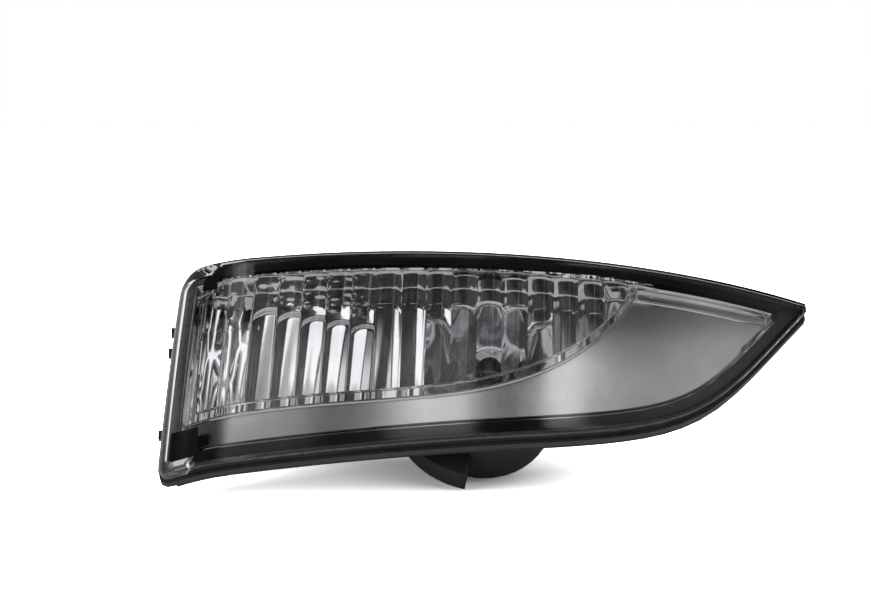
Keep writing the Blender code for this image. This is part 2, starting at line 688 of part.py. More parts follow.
def reflector():
    """One silvered moulding: smooth blade and strip, stepped recess with a trough, and
    a parabolic bowl round the bulb with its opening."""
    front_leaf = Leaf(REFLECTOR_INSET + REFLECTOR_WALL)
    back_leaf = Leaf(REFLECTOR_INSET)
    front, front_ring = recess_face(front_leaf, 0.0, REFLECTOR_EDGE)
    back, back_ring = recess_face(back_leaf, REFLECTOR_WALL, REFLECTOR_EDGE + REFLECTOR_RIM)
    mesh = loft("reflector", ([back_ring(back_leaf, REFLECTOR_EDGE)], front), ([], back))
    body = add_object("reflector", mesh, finish("silvered", (0.62, 0.62, 0.64), 0.22, 1.0))
    trimmed_bowl(body, "UNION", "bowl_back", REFLECTOR_WALL, TROUGH_DEPTH + REFLECTOR_WALL * 0.8)
    trimmed_bowl(body, "DIFFERENCE", "bowl_face", 0.0, TROUGH_DEPTH - BOWL_OVERRUN)
    hole = turned_mesh("bulb_opening", [(0.0, TROUGH_DEPTH), (BULB_OPENING, TROUGH_DEPTH),
                                        (BULB_OPENING, BOWL_POLE + REACH_PAST), (0.0, BOWL_POLE + REACH_PAST)],
                       28)
    combine(body, "DIFFERENCE", hole)
    return body


def sector_mesh(name, inner, outer, start, stop, front, back, steps=12):
    """Part of a ring about the bulb axis, between two angles in degrees."""
    bm = bmesh.new()
    faces = []
    for k in range(steps + 1):
        angle = math.radians(start + (stop - start) * k / steps)
        c, s = math.cos(angle), math.sin(angle)
        corners = ((inner, front), (outer, front), (outer, back), (inner, back))
        faces.append([bm.verts.new((r * c, y, BULB_Z + r * s)) for r, y in corners])
    for first, second in zip(faces, faces[1:]):
        bridge(bm, first, second)
    bm.faces.new(faces[0])
    bm.faces.new(faces[-1][::-1])
    return mesh_from_bmesh(name, bm)


def end_nub(number, height):
    """Small locating nub on the side of the flange, at the blunt end."""
    x = END_X + END_SLANT * height - FLANGE_PROUD
    y = float(rim(np.float64(x), np.float64(height))) + FLANGE_FRONT
    return box_mesh(f"nub_{number}", (x - NUB_REACH, y + NUB_STEP, height - NUB_HEIGHT / 2),
                    (x + NUB_REACH, y + FLANGE_THICKNESS - NUB_STEP, height + NUB_HEIGHT / 2))


def slab(name, outline, thickness, centre, along="x"):
    """Flat web: an outline of (distance, y) points, thick across the direction it runs in."""
    bm = bmesh.new()
    run, across = (0, 2) if along == "x" else (2, 0)
    verts = []
    for distance, y in outline:
        point = [0.0, y, 0.0]
        point[run] = centre[run // 2] + distance
        point[across] = centre[across // 2] - thickness / 2
        verts.append(bm.verts.new(point))
    swept = bmesh.ops.extrude_face_region(bm, geom=[bm.faces.new(verts)])
    shift = [0.0, 0.0, 0.0]
    shift[across] = thickness
    moved = [v for v in swept["geom"] if isinstance(v, bmesh.types.BMVert)]
    bmesh.ops.translate(bm, verts=moved, vec=shift)
    return mesh_from_bmesh(name, bm)


FLANGE_FRONT = RIM_DEPTH + 2 * GAP + BEAD_THICKNESS
FLANGE_BACK = FLANGE_FRONT + FLANGE_THICKNESS
CAN_RADIUS = BOWL_RADIUS + CAN_MARGIN
REFLECTOR_ROOM = REFLECTOR_WALL + REFLECTOR_CLEARANCE
TRAY_FRONT = BLADE_DEPTH + REFLECTOR_ROOM
TROUGH_FRONT = TROUGH_DEPTH + REFLECTOR_ROOM


def tray_forms():
    """What stands out behind the tray: the can with its guard, the locating pin, the
    screw boss with its webs, two ribs beside the can, and the nubs at the blunt end."""
    can = turned_mesh("can", [(0.0, TRAY_FRONT), (CAN_RADIUS + CAN_FLARE, TRAY_FRONT),
                              (CAN_RADIUS, CAN_LENGTH - CAN_ROUND), (CAN_RADIUS - CAN_ROUND, CAN_LENGTH),
                              (0.0, CAN_LENGTH)], 44)
    guard_back = CAN_LENGTH - GUARD_BACK
    guard = sector_mesh("guard", CAN_RADIUS - HOUSING_WALL / 2, CAN_RADIUS + GUARD_HEIGHT,
                        GUARD_START, GUARD_STOP, guard_back - GUARD_LENGTH, guard_back)
    pin = turned_mesh("pin", [(0.0, TROUGH_FRONT), (PIN_RADIUS, TROUGH_FRONT),
                              (PIN_RADIUS, PIN_TIP_Y - PIN_ROUND), (PIN_RADIUS - PIN_ROUND, PIN_TIP_Y),
                              (0.0, PIN_TIP_Y)], 20, (PIN_X, PIN_Z))
    boss = turned_mesh("boss", [(0.0, TRAY_FRONT), (BOSS_RADIUS + BOSS_TAPER, TRAY_FRONT),
                                (BOSS_RADIUS, BOSS_BACK_Y), (0.0, BOSS_BACK_Y)], 24, (BOSS_X, BOSS_Z))
    forms = [can, guard, pin, boss]
    web_top = BOSS_BACK_Y - WEB_DROP
    reach = BOSS_RADIUS + WEB_REACH
    outline = [(-reach, TRAY_FRONT), (reach, TRAY_FRONT), (reach, TRAY_FRONT + 2 * HOUSING_WALL),
               (BOSS_RADIUS, web_top), (-BOSS_RADIUS, web_top), (-reach, TRAY_FRONT + 2 * HOUSING_WALL)]
    forms += [slab(f"web_{along}", outline, WEB_THICKNESS, (BOSS_X, BOSS_Z), along) for along in ("x", "z")]
    rib_top = CAN_LENGTH - RIB_DROP
    rib_foot = TROUGH_FRONT + HOUSING_WALL * 1.5
    for k, side in enumerate((-1, 1)):
        outline = [(side * (CAN_RADIUS - HOUSING_WALL / 2), TRAY_FRONT), (side * (CAN_RADIUS + RIB_REACH), TRAY_FRONT),
                   (side * (CAN_RADIUS + RIB_REACH), rib_foot), (side * (CAN_RADIUS - HOUSING_WALL / 2), rib_top)]
        forms.append(slab(f"rib_{k}", outline, RIB_THICKNESS, (0.0, BULB_Z)))
    return forms + [end_nub(k, z) for k, z in enumerate(NUB_HEIGHTS)]


def tray_cuts():
    """The bore of the can, the hole and notches for the holder, and the screw hole."""
    bore_radius = CAN_RADIUS - HOUSING_WALL
    end_wall = CAN_LENGTH - CAN_END_WALL
    bore = turned_mesh("bore", [(0.0, TRAY_FRONT + 2 * HOUSING_WALL), (bore_radius, TRAY_FRONT + 2 * HOUSING_WALL),
                                (bore_radius - BORE_TAPER, end_wall), (0.0, end_wall)], BOWL_SIDES)
    opening = HOLDER_RADIUS + GAP
    hole = turned_mesh("holder_hole", [(0.0, end_wall - REACH_PAST), (opening, end_wall - REACH_PAST),
                                       (opening, CAN_LENGTH + REACH_PAST), (0.0, CAN_LENGTH + REACH_PAST)], 40)
    notches = [sector_mesh(f"notch_{k}", HOLDER_RADIUS - HOLDER_ROUND, BAYONET_RADIUS + 2 * GAP,
                           angle + BAYONET_TURN - BAYONET_ANGLE / 2 - BAYONET_PLAY,
                           angle + BAYONET_TURN + BAYONET_ANGLE / 2 + BAYONET_PLAY,
                           end_wall - REACH_PAST, CAN_LENGTH + REACH_PAST, 5)
               for k, angle in enumerate(BAYONET_ANGLES)]
    hole_floor = BOSS_BACK_Y - BOSS_HOLE_DEPTH
    screw_hole = turned_mesh("screw_hole", [(0.0, hole_floor), (BOSS_HOLE, hole_floor),
                                            (BOSS_HOLE, BOSS_BACK_Y + REACH_PAST),
                                            (0.0, BOSS_BACK_Y + REACH_PAST)], 20, (BOSS_X, BOSS_Z))
    return bore, hole, screw_hole, notches


def housing():
    """Black moulded tray: a flange, and a stepped back that follows the reflector and
    carries the can round the bulb, a guard, a locating pin, a screw boss and ribs."""
    flange = Leaf(-FLANGE_PROUD)
    back_leaf = Leaf(TRAY_INSET, low=TRAY_INSET_LOW)
    inner_leaf = Leaf(REFLECTOR_INSET - GAP)
    back, back_ring = recess_face(back_leaf, REFLECTOR_ROOM + HOUSING_WALL, FLANGE_BACK)
    cap = back[0], rim(back[0], back[2]) + FLANGE_FRONT, back[2]
    mesh = loft("housing", ([back_ring(flange, FLANGE_FRONT)], cap),
                ([back_ring(flange, FLANGE_BACK)], back))
    body = add_object("housing", mesh, finish("black_moulding", (0.022, 0.022, 0.023), 0.45))
    combine(body, "UNION", *tray_forms())
    bore, hole, screw_hole, notches = tray_cuts()
    inner, inner_ring = recess_face(inner_leaf, REFLECTOR_ROOM, REFLECTOR_EDGE + CAVITY_STEP)
    lid = inner[0], rim(inner[0], inner[2]) + FLANGE_FRONT - REACH_PAST, inner[2]
    cavity = loft("cavity", ([], lid), ([], inner))
    combine(body, "DIFFERENCE", screw_hole, bore, hole, *notches)
    weld(body)
    trimmed_bowl(body, "DIFFERENCE", "bowl_room", REFLECTOR_ROOM, TROUGH_DEPTH)
    combine(body, "DIFFERENCE", cavity)
    return weld(body)


def gasket_strip():
    """Soft foam strip stuck behind the flange along the lower edge."""
    near = Leaf(GASKET_INSET - FLANGE_PROUD)
    far = Leaf(GASKET_INSET - FLANGE_PROUD + GASKET_WIDTH)
    t = np.linspace(0.03, 0.97, 34)
    bm = bmesh.new()
    runs = []
    for leaf, depth in ((near, 0.0), (near, GASKET_THICKNESS), (far, GASKET_THICKNESS), (far, 0.0)):
        x, z = place(leaf, t, np.zeros_like(t))
        y = rim(x, z) + FLANGE_BACK + GAP + depth
        runs.append([bm.verts.new(p) for p in np.column_stack([x, y, z])])
    for first, second in zip(runs, runs[1:] + runs[:1]):
        for k in range(len(t) - 1):
            bm.faces.new((first[k], first[k + 1], second[k + 1], second[k]))
    bm.faces.new([run[0] for run in runs])
    bm.faces.new([run[-1] for run in runs[::-1]])
    mesh = mesh_from_bmesh("gasket_strip", bm)
    return add_object("gasket_strip", mesh, finish("black_foam", (0.02, 0.02, 0.021), 0.9))


SEAL_FRONT = CAN_LENGTH + GAP
HOLDER_FLANGE_FRONT = SEAL_FRONT + SEAL_THICKNESS + GAP
HOLDER_FLANGE_BACK = HOLDER_FLANGE_FRONT + HOLDER_FLANGE
SOCKET_FLOOR = HOLDER_FLANGE_BACK + HOLDER_WEB
CONTACT_INNER = WEDGE_HALF_THICKNESS + 2 * GAP + 2 * LEAD_RADIUS
CONTACT_OUTER = CONTACT_INNER + CONTACT_THICKNESS
POCKET_FLOOR = SOCKET_FLOOR - HOLDER_FLOOR
WEDGE_END_Y = POCKET_FLOOR - 3 * GAP - 2 * LEAD_RADIUS
WEDGE_START_Y = WEDGE_END_Y - WEDGE_LENGTH
GLASS_SHOULDER_Y = WEDGE_END_Y - SHOULDER_LENGTH
GLASS_TIP_Y = WEDGE_END_Y - BULB_LENGTH
FILAMENT_Y = WEDGE_END_Y - FILAMENT_LENGTH
HOLDER_FRONT_Y = BOWL_POLE + HOLDER_CLEARANCE
HOLDER_FLANGE_RADIUS = HOLDER_RADIUS + SEAL_WIDTH + 2 * GAP


def holder_seal():
    """Rubber ring between the can and the flange of the bulb holder."""
    inner = HOLDER_RADIUS + GAP
    outer = inner + SEAL_WIDTH
    round_off = SEAL_THICKNESS * 0.25
    back = SEAL_FRONT + SEAL_THICKNESS
    profile = [(inner, SEAL_FRONT), (outer - round_off, SEAL_FRONT), (outer, SEAL_FRONT + round_off),
               (outer, back - round_off), (outer - round_off, back), (inner, back),
               (inner, SEAL_FRONT)]
    mesh = turned_mesh("holder_seal", profile, 40)
    return add_object("holder_seal", mesh, finish("rubber", (0.03, 0.03, 0.032), 0.8))


def bulb_holder():
    """Twist-lock holder: plug with three bayonet lugs, flange, and a shroud for the
    connector; a pocket takes the wedge of the bulb, and slots pass the contacts."""
    plug = turned_mesh("bulb_holder", [(0.0, HOLDER_FRONT_Y), (HOLDER_RADIUS - HOLDER_ROUND, HOLDER_FRONT_Y),
                                       (HOLDER_RADIUS, HOLDER_FRONT_Y + HOLDER_ROUND),
                                       (HOLDER_RADIUS, HOLDER_FLANGE_FRONT),
                                       (HOLDER_FLANGE_RADIUS, HOLDER_FLANGE_FRONT),
                                       (HOLDER_FLANGE_RADIUS, HOLDER_FLANGE_BACK - HOLDER_ROUND),
                                       (HOLDER_FLANGE_RADIUS - HOLDER_ROUND, HOLDER_FLANGE_BACK),
                                       (0.0, HOLDER_FLANGE_BACK)], 40)
    body = add_object("bulb_holder", plug, finish("holder_moulding", (0.045, 0.045, 0.048), 0.5))
    locked = CAN_LENGTH - CAN_END_WALL - GAP
    lugs = [sector_mesh(f"bayonet_{k}", HOLDER_RADIUS - HOLDER_ROUND, BAYONET_RADIUS,
                        angle - BAYONET_ANGLE / 2, angle + BAYONET_ANGLE / 2,
                        locked - BAYONET_LENGTH, locked, 5)
            for k, angle in enumerate(BAYONET_ANGLES)]
    half_w, half_h = SHROUD_WIDTH / 2, SHROUD_HEIGHT / 2
    root = HOLDER_FLANGE_BACK - HOLDER_FLANGE / 2
    mouth_y = HOLDER_FLANGE_BACK + SHROUD_LENGTH
    shroud = box_mesh("shroud", (-half_w, root, BULB_Z - half_h), (half_w, mouth_y, BULB_Z + half_h))
    key = box_mesh("shroud_key", (-KEY_WIDTH / 2, root, BULB_Z + half_h - SHROUD_WALL / 2),
                   (KEY_WIDTH / 2, mouth_y - KEY_SHORT, BULB_Z + half_h + KEY_HEIGHT))
    combine(body, "UNION", shroud, key, *lugs)
    pocket_w = WEDGE_HALF_WIDTH + GAP
    pocket_h = CONTACT_OUTER + GAP
    pocket_front = HOLDER_FRONT_Y - REACH_PAST
    pocket = box_mesh("pocket", (-pocket_w, pocket_front, BULB_Z - pocket_h),
                      (pocket_w, POCKET_FLOOR, BULB_Z + pocket_h))
    mouth_floor = WEDGE_START_Y + GAP
    mouth = turned_mesh("mouth", [(0.0, pocket_front), (GLASS_RADIUS + GAP, pocket_front),
                                  (GLASS_RADIUS + GAP, mouth_floor), (0.0, mouth_floor)], 28)
    inner_w, inner_h = half_w - SHROUD_WALL, half_h - SHROUD_WALL
    socket = box_mesh("socket", (-inner_w, SOCKET_FLOOR, BULB_Z - inner_h),
                      (inner_w, mouth_y + REACH_PAST, BULB_Z + inner_h))
    slot_w = CONTACT_WIDTH / 2 + GAP
    slots = []
    for side in (1, -1):
        heights = sorted((BULB_Z + side * (CONTACT_INNER - GAP), BULB_Z + side * (CONTACT_OUTER + SLOT_PLAY)))
        slots.append(box_mesh(f"slot_{side}", (-slot_w, POCKET_FLOOR - REACH_PAST, heights[0]),
                              (slot_w, SOCKET_FLOOR + REACH_PAST, heights[1])))
    combine(body, "DIFFERENCE", pocket, mouth, socket, *slots)
    return body


def contact(name, side):
    """Stamped brass contact: a flared spring beside the wedge, and a blade in the shroud."""
    start = WEDGE_END_Y - LEAD_FOLD - CONTACT_LEAD_IN
    stop = SOCKET_FLOOR + CONTACT_REACH
    inner, outer = CONTACT_INNER, CONTACT_OUTER
    flare = GAP * 0.6
    chamfer = CONTACT_THICKNESS / 3
    side_view = [(start, inner + flare), (start + CONTACT_LEAD_IN, inner), (stop - CONTACT_LEAD_IN, inner),
                 (stop, inner + chamfer), (stop, outer - chamfer), (stop - CONTACT_LEAD_IN, outer),
                 (start + CONTACT_LEAD_IN, outer), (start, outer + flare)]
    mesh = slab(name, [(side * z, y) for y, z in side_view], CONTACT_WIDTH, (0.0, BULB_Z), "z")
    return add_object(name, mesh, finish(name, (0.72, 0.58, 0.32), 0.3, 1.0))


def bulb_glass():
    """Clear wedge bulb: a thin domed envelope on a flat wedge, with a pinch passage
    that the leads come through."""
    dome = [math.radians(a) for a in (0, 18, 36, 54, 72, 90)]

    def profile(radius, tip, neck, end):
        curve = [(radius * math.sin(a), tip + radius * (1 - math.cos(a))) for a in dome]
        return [(0.0, tip)] + curve[1:] + [(radius, GLASS_SHOULDER_Y - GLASS_TAPER),
                                           (radius * GLASS_WAIST, GLASS_SHOULDER_Y), (neck, end), (0.0, end)]

    outside = turned_mesh("bulb_glass", profile(GLASS_RADIUS, GLASS_TIP_Y, GLASS_NECK, WEDGE_START_Y), 24)
    body = add_object("bulb_glass", outside, finish("bulb_glass", (0.95, 0.96, 0.97), 0.02, 0.0, 1.0))
    wedge = box_mesh("wedge", (-WEDGE_HALF_WIDTH, WEDGE_START_Y - WEDGE_ROOT, BULB_Z - WEDGE_HALF_THICKNESS),
                     (WEDGE_HALF_WIDTH, WEDGE_END_Y, BULB_Z + WEDGE_HALF_THICKNESS))
    combine(body, "UNION", wedge)
    inside = turned_mesh("inside", profile(GLASS_RADIUS - GLASS_WALL, GLASS_TIP_Y + GLASS_WALL,
                                           GLASS_NECK - REACH_PAST, WEDGE_START_Y - WEDGE_ROOT * 0.7), 24)
    pinch = box_mesh("pinch", (-PINCH_HALF_WIDTH, GLASS_SHOULDER_Y, BULB_Z - PINCH_HALF_HEIGHT),
                     (PINCH_HALF_WIDTH, WEDGE_END_Y + REACH_PAST, BULB_Z + PINCH_HALF_HEIGHT))
    combine(body, "DIFFERENCE", inside, pinch)
    return body


def bulb_lead(name, side):
    """Lead of the bulb: up beside the filament, out of the pinch and back along the wedge."""
    x = side * LEAD_SPREAD
    turn = WEDGE_END_Y + GAP + LEAD_RADIUS
    fold = BULB_Z + side * (WEDGE_HALF_THICKNESS + GAP + LEAD_RADIUS)
    points = [(x, FILAMENT_Y - FILAMENT_COIL, BULB_Z), (x, turn - LEAD_BEND, BULB_Z),
              (x, turn, BULB_Z + side * LEAD_BEND), (x, turn, fold - side * LEAD_BEND / 2),
              (x, turn - LEAD_BEND / 2, fold), (x, WEDGE_END_Y - LEAD_FOLD, fold)]
    return wire_object(name, points, LEAD_RADIUS, 1, finish("lead_wire", (0.55, 0.54, 0.52), 0.35, 1.0))


def bulb_filament():
    """Coiled filament between the two leads."""
    half = LEAD_SPREAD - LEAD_RADIUS - GAP - FILAMENT_WIRE
    count = FILAMENT_TURNS * 8 + 1
    points = []
    for k in range(count):
        angle = 2.0 * math.pi * k / 8
        points.append((-half + 2 * half * k / (count - 1), FILAMENT_Y + FILAMENT_COIL * math.cos(angle),
                       BULB_Z + FILAMENT_COIL * math.sin(angle)))
    return wire_object("bulb_filament", points, FILAMENT_WIRE, 0,
                       finish("tungsten", (0.35, 0.34, 0.33), 0.4, 1.0))


outer_lens()
lens_frame()
sealant_bead()
reflector()
housing()
gasket_strip()
holder_seal()
bulb_holder()
contact("contact_upper", 1)
contact("contact_lower", -1)
bulb_glass()
bulb_lead("bulb_lead_left", -1)
bulb_lead("bulb_lead_right", 1)
bulb_filament()
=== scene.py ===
"""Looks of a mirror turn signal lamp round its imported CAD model. Metres, +Z up."""
import math

import bmesh
import bpy
import numpy as np
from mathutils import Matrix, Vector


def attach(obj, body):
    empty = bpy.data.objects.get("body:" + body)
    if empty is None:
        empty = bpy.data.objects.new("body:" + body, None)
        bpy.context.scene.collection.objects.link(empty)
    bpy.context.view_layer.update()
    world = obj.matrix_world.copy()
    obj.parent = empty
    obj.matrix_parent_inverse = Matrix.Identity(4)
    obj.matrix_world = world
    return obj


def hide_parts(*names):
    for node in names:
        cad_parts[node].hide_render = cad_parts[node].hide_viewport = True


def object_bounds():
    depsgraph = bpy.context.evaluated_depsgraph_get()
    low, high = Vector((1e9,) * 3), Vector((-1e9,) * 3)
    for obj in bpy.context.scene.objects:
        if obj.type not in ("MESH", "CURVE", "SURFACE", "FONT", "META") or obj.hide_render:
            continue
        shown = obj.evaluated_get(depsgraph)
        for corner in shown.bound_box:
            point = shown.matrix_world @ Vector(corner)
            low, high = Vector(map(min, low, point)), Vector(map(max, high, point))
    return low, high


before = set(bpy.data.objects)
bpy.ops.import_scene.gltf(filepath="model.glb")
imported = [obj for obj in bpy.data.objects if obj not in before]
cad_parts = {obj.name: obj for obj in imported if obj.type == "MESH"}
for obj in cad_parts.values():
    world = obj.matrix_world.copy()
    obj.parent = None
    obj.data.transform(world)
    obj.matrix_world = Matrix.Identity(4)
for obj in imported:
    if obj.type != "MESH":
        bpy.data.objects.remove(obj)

cad_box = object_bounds()


# Camera: at the height of the lamp, six degrees above the level of the table and far
# enough back for the perspective of a long lens.
eye = bpy.data.cameras.new("camera")
eye.sensor_width = 36.0
eye.lens = 88.86
camera = bpy.data.objects.new("camera", eye)
camera.location = (-0.0103, -0.42689, 0.05211)
camera.rotation_euler = (math.radians(84.0), 0.0, 0.0)
bpy.context.scene.collection.objects.link(camera)
bpy.context.scene.camera = camera


# Surroundings: a white table that keeps the soft shadow and has painted shade, its colour to
# the camera darker close behind the can and paler further out; two wide lamps low in front,
# and for gloss and glass a dim room with soft windows in front of a white backdrop.
def node(owner, kind, place, **values):
    """Adds a shader node and sets its properties or its unlinked inputs by name."""
    made = owner.node_tree.nodes.new(kind)
    made.location = place
    for name, value in values.items():
        if hasattr(made, name):
            setattr(made, name, value)
        else:
            made.inputs[name.replace("_", " ")].default_value = value
    return made


def link(owner, source, target):
    """Joins an output socket to an input socket."""
    owner.node_tree.links.new(source, target)


def empty_material(name):
    """A material with no nodes yet."""
    material = bpy.data.materials.new(name)
    material.use_nodes = True
    material.node_tree.nodes.clear()
    return material


def show(owner, source, kind="ShaderNodeOutputMaterial"):
    """Joins a shader to the surface of a new output."""
    link(owner, source, node(owner, kind, (500, 80)).inputs["Surface"])


TABLE_DROP, TABLE_HALF = 0.0004, 3.0
PAINTED_SHADE_CENTRE = (-0.012, 0.055)
table_z = cad_box[0][2] - TABLE_DROP
table_mesh = bpy.data.meshes.new("table")
table_mesh.from_pydata([(-TABLE_HALF, -TABLE_HALF, table_z), (TABLE_HALF, -TABLE_HALF, table_z),
                        (TABLE_HALF, TABLE_HALF, table_z), (-TABLE_HALF, TABLE_HALF, table_z)],
                       [], [(0, 1, 2, 3)])
table = bpy.data.objects.new("table", table_mesh)
bpy.context.scene.collection.objects.link(table)
paper = empty_material("white_paper")
plain = node(paper, "ShaderNodeBsdfDiffuse", (-500, 100), Color=(0.80, 0.80, 0.80, 1.0))
seen_in_gloss = node(paper, "ShaderNodeBsdfDiffuse", (-500, -40), Color=(0.60, 0.60, 0.60, 1.0))
shown = node(paper, "ShaderNodeBsdfDiffuse", (-500, -180))
spot = node(paper, "ShaderNodeTexCoord", (-1300, -180))
to_painted_shade = node(paper, "ShaderNodeVectorMath", (-1100, -180), operation="DISTANCE")
to_painted_shade.inputs[1].default_value = (*PAINTED_SHADE_CENTRE, table_z)
# Painted shadow: for camera rays the table's colour rises from dark at a point behind the can to
# far above white a few centimetres out.
painted_shade_tone = node(paper, "ShaderNodeMapRange", (-900, -180), From_Min=0.005, From_Max=0.060,
                To_Min=1.2, To_Max=5.0, interpolation_type="SMOOTHSTEP")
link(paper, spot.outputs["Object"], to_painted_shade.inputs[0])
link(paper, to_painted_shade.outputs["Value"], painted_shade_tone.inputs["Value"])
link(paper, painted_shade_tone.outputs[0], shown.inputs["Color"])
ray = node(paper, "ShaderNodeLightPath", (-900, 300))
either = node(paper, "ShaderNodeMath", (-640, 300), operation="MAXIMUM")
in_gloss = node(paper, "ShaderNodeMixShader", (-280, 60))
in_camera = node(paper, "ShaderNodeMixShader", (-60, 0))
link(paper, ray.outputs["Is Glossy Ray"], either.inputs[0])
link(paper, ray.outputs["Is Transmission Ray"], either.inputs[1])
link(paper, either.outputs[0], in_gloss.inputs[0])
link(paper, plain.outputs[0], in_gloss.inputs[1])
link(paper, seen_in_gloss.outputs[0], in_gloss.inputs[2])
link(paper, ray.outputs["Is Camera Ray"], in_camera.inputs[0])
link(paper, in_gloss.outputs[0], in_camera.inputs[1])
link(paper, shown.outputs[0], in_camera.inputs[2])
show(paper, in_camera.outputs[0])
table_mesh.materials.append(paper)

world = bpy.data.worlds.new("surround")
world.use_nodes = True
world.node_tree.nodes.clear()
world.cycles.sampling_method = "NONE"


def grey_ramp(owner, place, *stops):
    """A smooth ramp of grey through stops of position and level."""
    made = node(owner, "ShaderNodeValToRGB", place)
    made.color_ramp.interpolation = "EASE"
    elements = made.color_ramp.elements
    elements[0].position, elements[0].color = stops[0][0], (stops[0][1],) * 3 + (1.0,)
    elements[1].position, elements[1].color = stops[-1][0], (stops[-1][1],) * 3 + (1.0,)
    for position, level in stops[1:-1]:
        elements.new(position).color = (level, level, level, 1.0)
    return made


way = node(world, "ShaderNodeTexCoord", (-1900, 0))
axes = node(world, "ShaderNodeSeparateXYZ", (-1700, 0))
link(world, way.outputs["Generated"], axes.inputs[0])
toward_key = node(world, "ShaderNodeVectorMath", (-1700, 360), operation="DOT_PRODUCT")
toward_key.inputs[1].default_value = (0.25, -0.62, 0.74)
link(world, way.outputs["Generated"], toward_key.inputs[0])
even = node(world, "ShaderNodeMapRange", (-1060, 360), From_Min=-0.5, From_Max=0.9, To_Min=0.20,
            To_Max=0.30, interpolation_type="SMOOTHSTEP")
link(world, toward_key.outputs["Value"], even.inputs["Value"])
behind = node(world, "ShaderNodeMapRange", (-1400, 0), From_Min=0.05, From_Max=0.55,
              interpolation_type="SMOOTHSTEP")
low = node(world, "ShaderNodeMapRange", (-1400, -260), From_Min=0.62, From_Max=0.18,
           interpolation_type="SMOOTHSTEP")
backdrop = node(world, "ShaderNodeMath", (-1160, -100), operation="MULTIPLY")
link(world, axes.outputs["Y"], behind.inputs["Value"])
link(world, axes.outputs["Z"], low.inputs["Value"])
link(world, behind.outputs[0], backdrop.inputs[0])
link(world, low.outputs[0], backdrop.inputs[1])
across = node(world, "ShaderNodeMapRange", (-1400, -520), From_Min=-1.0, From_Max=1.0)
link(world, axes.outputs["X"], across.inputs["Value"])
windows = grey_ramp(world, (-1160, -520), (0.0, 0.28), (0.06, 0.20), (0.11, 0.04), (0.19, 0.02),
                    (0.24, 0.42), (0.31, 0.30), (0.36, 0.02), (0.39, 0.06), (0.42, 0.66),
                    (0.465, 0.66), (0.485, 0.0), (0.53, 0.0), (0.546, 1.0), (0.558, 1.0),
                    (0.58, 0.18), (0.68, 0.30), (0.80, 0.0))
height = grey_ramp(world, (-1160, -800), (0.30, 0.05), (0.55, 0.6), (0.66, 1.0), (0.80, 1.0),
                   (0.86, 0.28), (0.91, 0.0))
high = grey_ramp(world, (-1160, -1300), (0.225, 0.0), (0.245, 1.0), (0.285, 1.0), (0.305, 0.0))
above = grey_ramp(world, (-1160, -1560), (0.69, 0.0), (0.735, 1.0), (0.89, 1.0), (0.93, 0.0))
link(world, across.outputs[0], windows.inputs[0])
link(world, axes.outputs["Z"], height.inputs[0])
front = node(world, "ShaderNodeMapRange", (-1160, -1040), From_Min=0.0, From_Max=-0.2)
link(world, axes.outputs["Y"], front.inputs["Value"])
pane = node(world, "ShaderNodeMath", (-860, -560), operation="MULTIPLY")
panes = node(world, "ShaderNodeMath", (-680, -640), operation="MULTIPLY")
link(world, windows.outputs[0], pane.inputs[0])
link(world, height.outputs[0], pane.inputs[1])
high_pane = node(world, "ShaderNodeMath", (-860, -1300), operation="MULTIPLY")
both = node(world, "ShaderNodeMath", (-860, -760), operation="MAXIMUM")
link(world, across.outputs[0], high.inputs[0])
link(world, axes.outputs["Z"], above.inputs[0])
link(world, high.outputs[0], high_pane.inputs[0])
link(world, above.outputs[0], high_pane.inputs[1])
link(world, pane.outputs[0], both.inputs[0])
link(world, high_pane.outputs[0], both.inputs[1])
link(world, both.outputs[0], panes.inputs[0])
link(world, front.outputs[0], panes.inputs[1])
light = node(world, "ShaderNodeMapRange", (-500, -520), To_Min=0.02, To_Max=1.35)
link(world, panes.outputs[0], light.inputs["Value"])
room = node(world, "ShaderNodeMath", (-300, -300), operation="ADD")
link(world, backdrop.outputs[0], room.inputs[0])
link(world, light.outputs[0], room.inputs[1])
path = node(world, "ShaderNodeLightPath", (-1060, 720))
mirrored = node(world, "ShaderNodeMath", (-820, 580), operation="MAXIMUM")
link(world, path.outputs["Is Glossy Ray"], mirrored.inputs[0])
link(world, path.outputs["Is Transmission Ray"], mirrored.inputs[1])
gloss_sees = node(world, "ShaderNodeMix", (-100, 200), data_type="FLOAT")
link(world, mirrored.outputs[0], gloss_sees.inputs[0])
link(world, even.outputs[0], gloss_sees.inputs[2])
link(world, room.outputs[0], gloss_sees.inputs[3])
camera_sees = node(world, "ShaderNodeMix", (100, 300), data_type="FLOAT")
camera_sees.inputs[3].default_value = 1.0
link(world, path.outputs["Is Camera Ray"], camera_sees.inputs[0])
link(world, gloss_sees.outputs[0], camera_sees.inputs[2])
glow = node(world, "ShaderNodeBackground", (300, 300), Color=(1.0, 1.0, 1.0, 1.0))
link(world, camera_sees.outputs[0], glow.inputs["Strength"])
show(world, glow.outputs[0], "ShaderNodeOutputWorld")
bpy.context.scene.world = world

LAMP_POWER, LAMP_WIDTH = 2.3, math.radians(48.0)
LAMP_TILT, LAMP_TURN = math.radians(60.0), math.radians(38.0)
for side in (-1.0, 1.0):
    window_light = bpy.data.lights.new("window_light", "SUN")
    window_light.energy = LAMP_POWER
    window_light.angle = LAMP_WIDTH
    lamp = bpy.data.objects.new("window_light", window_light)
    lamp.rotation_euler = (LAMP_TILT, 0.0, -LAMP_TURN * side)
    lamp.visible_glossy = False
    lamp.visible_transmission = False
    bpy.context.scene.collection.objects.link(lamp)


# Housing: one injection moulding of black plastic with a fine grain from the tool. Its
# flange carries the lens, its can takes the bulb holder, and pin, nubs and screw boss
# fix it in the shell of the mirror.
WELD_REACH, FLAT_ANGLE = 0.000002, math.radians(0.4)


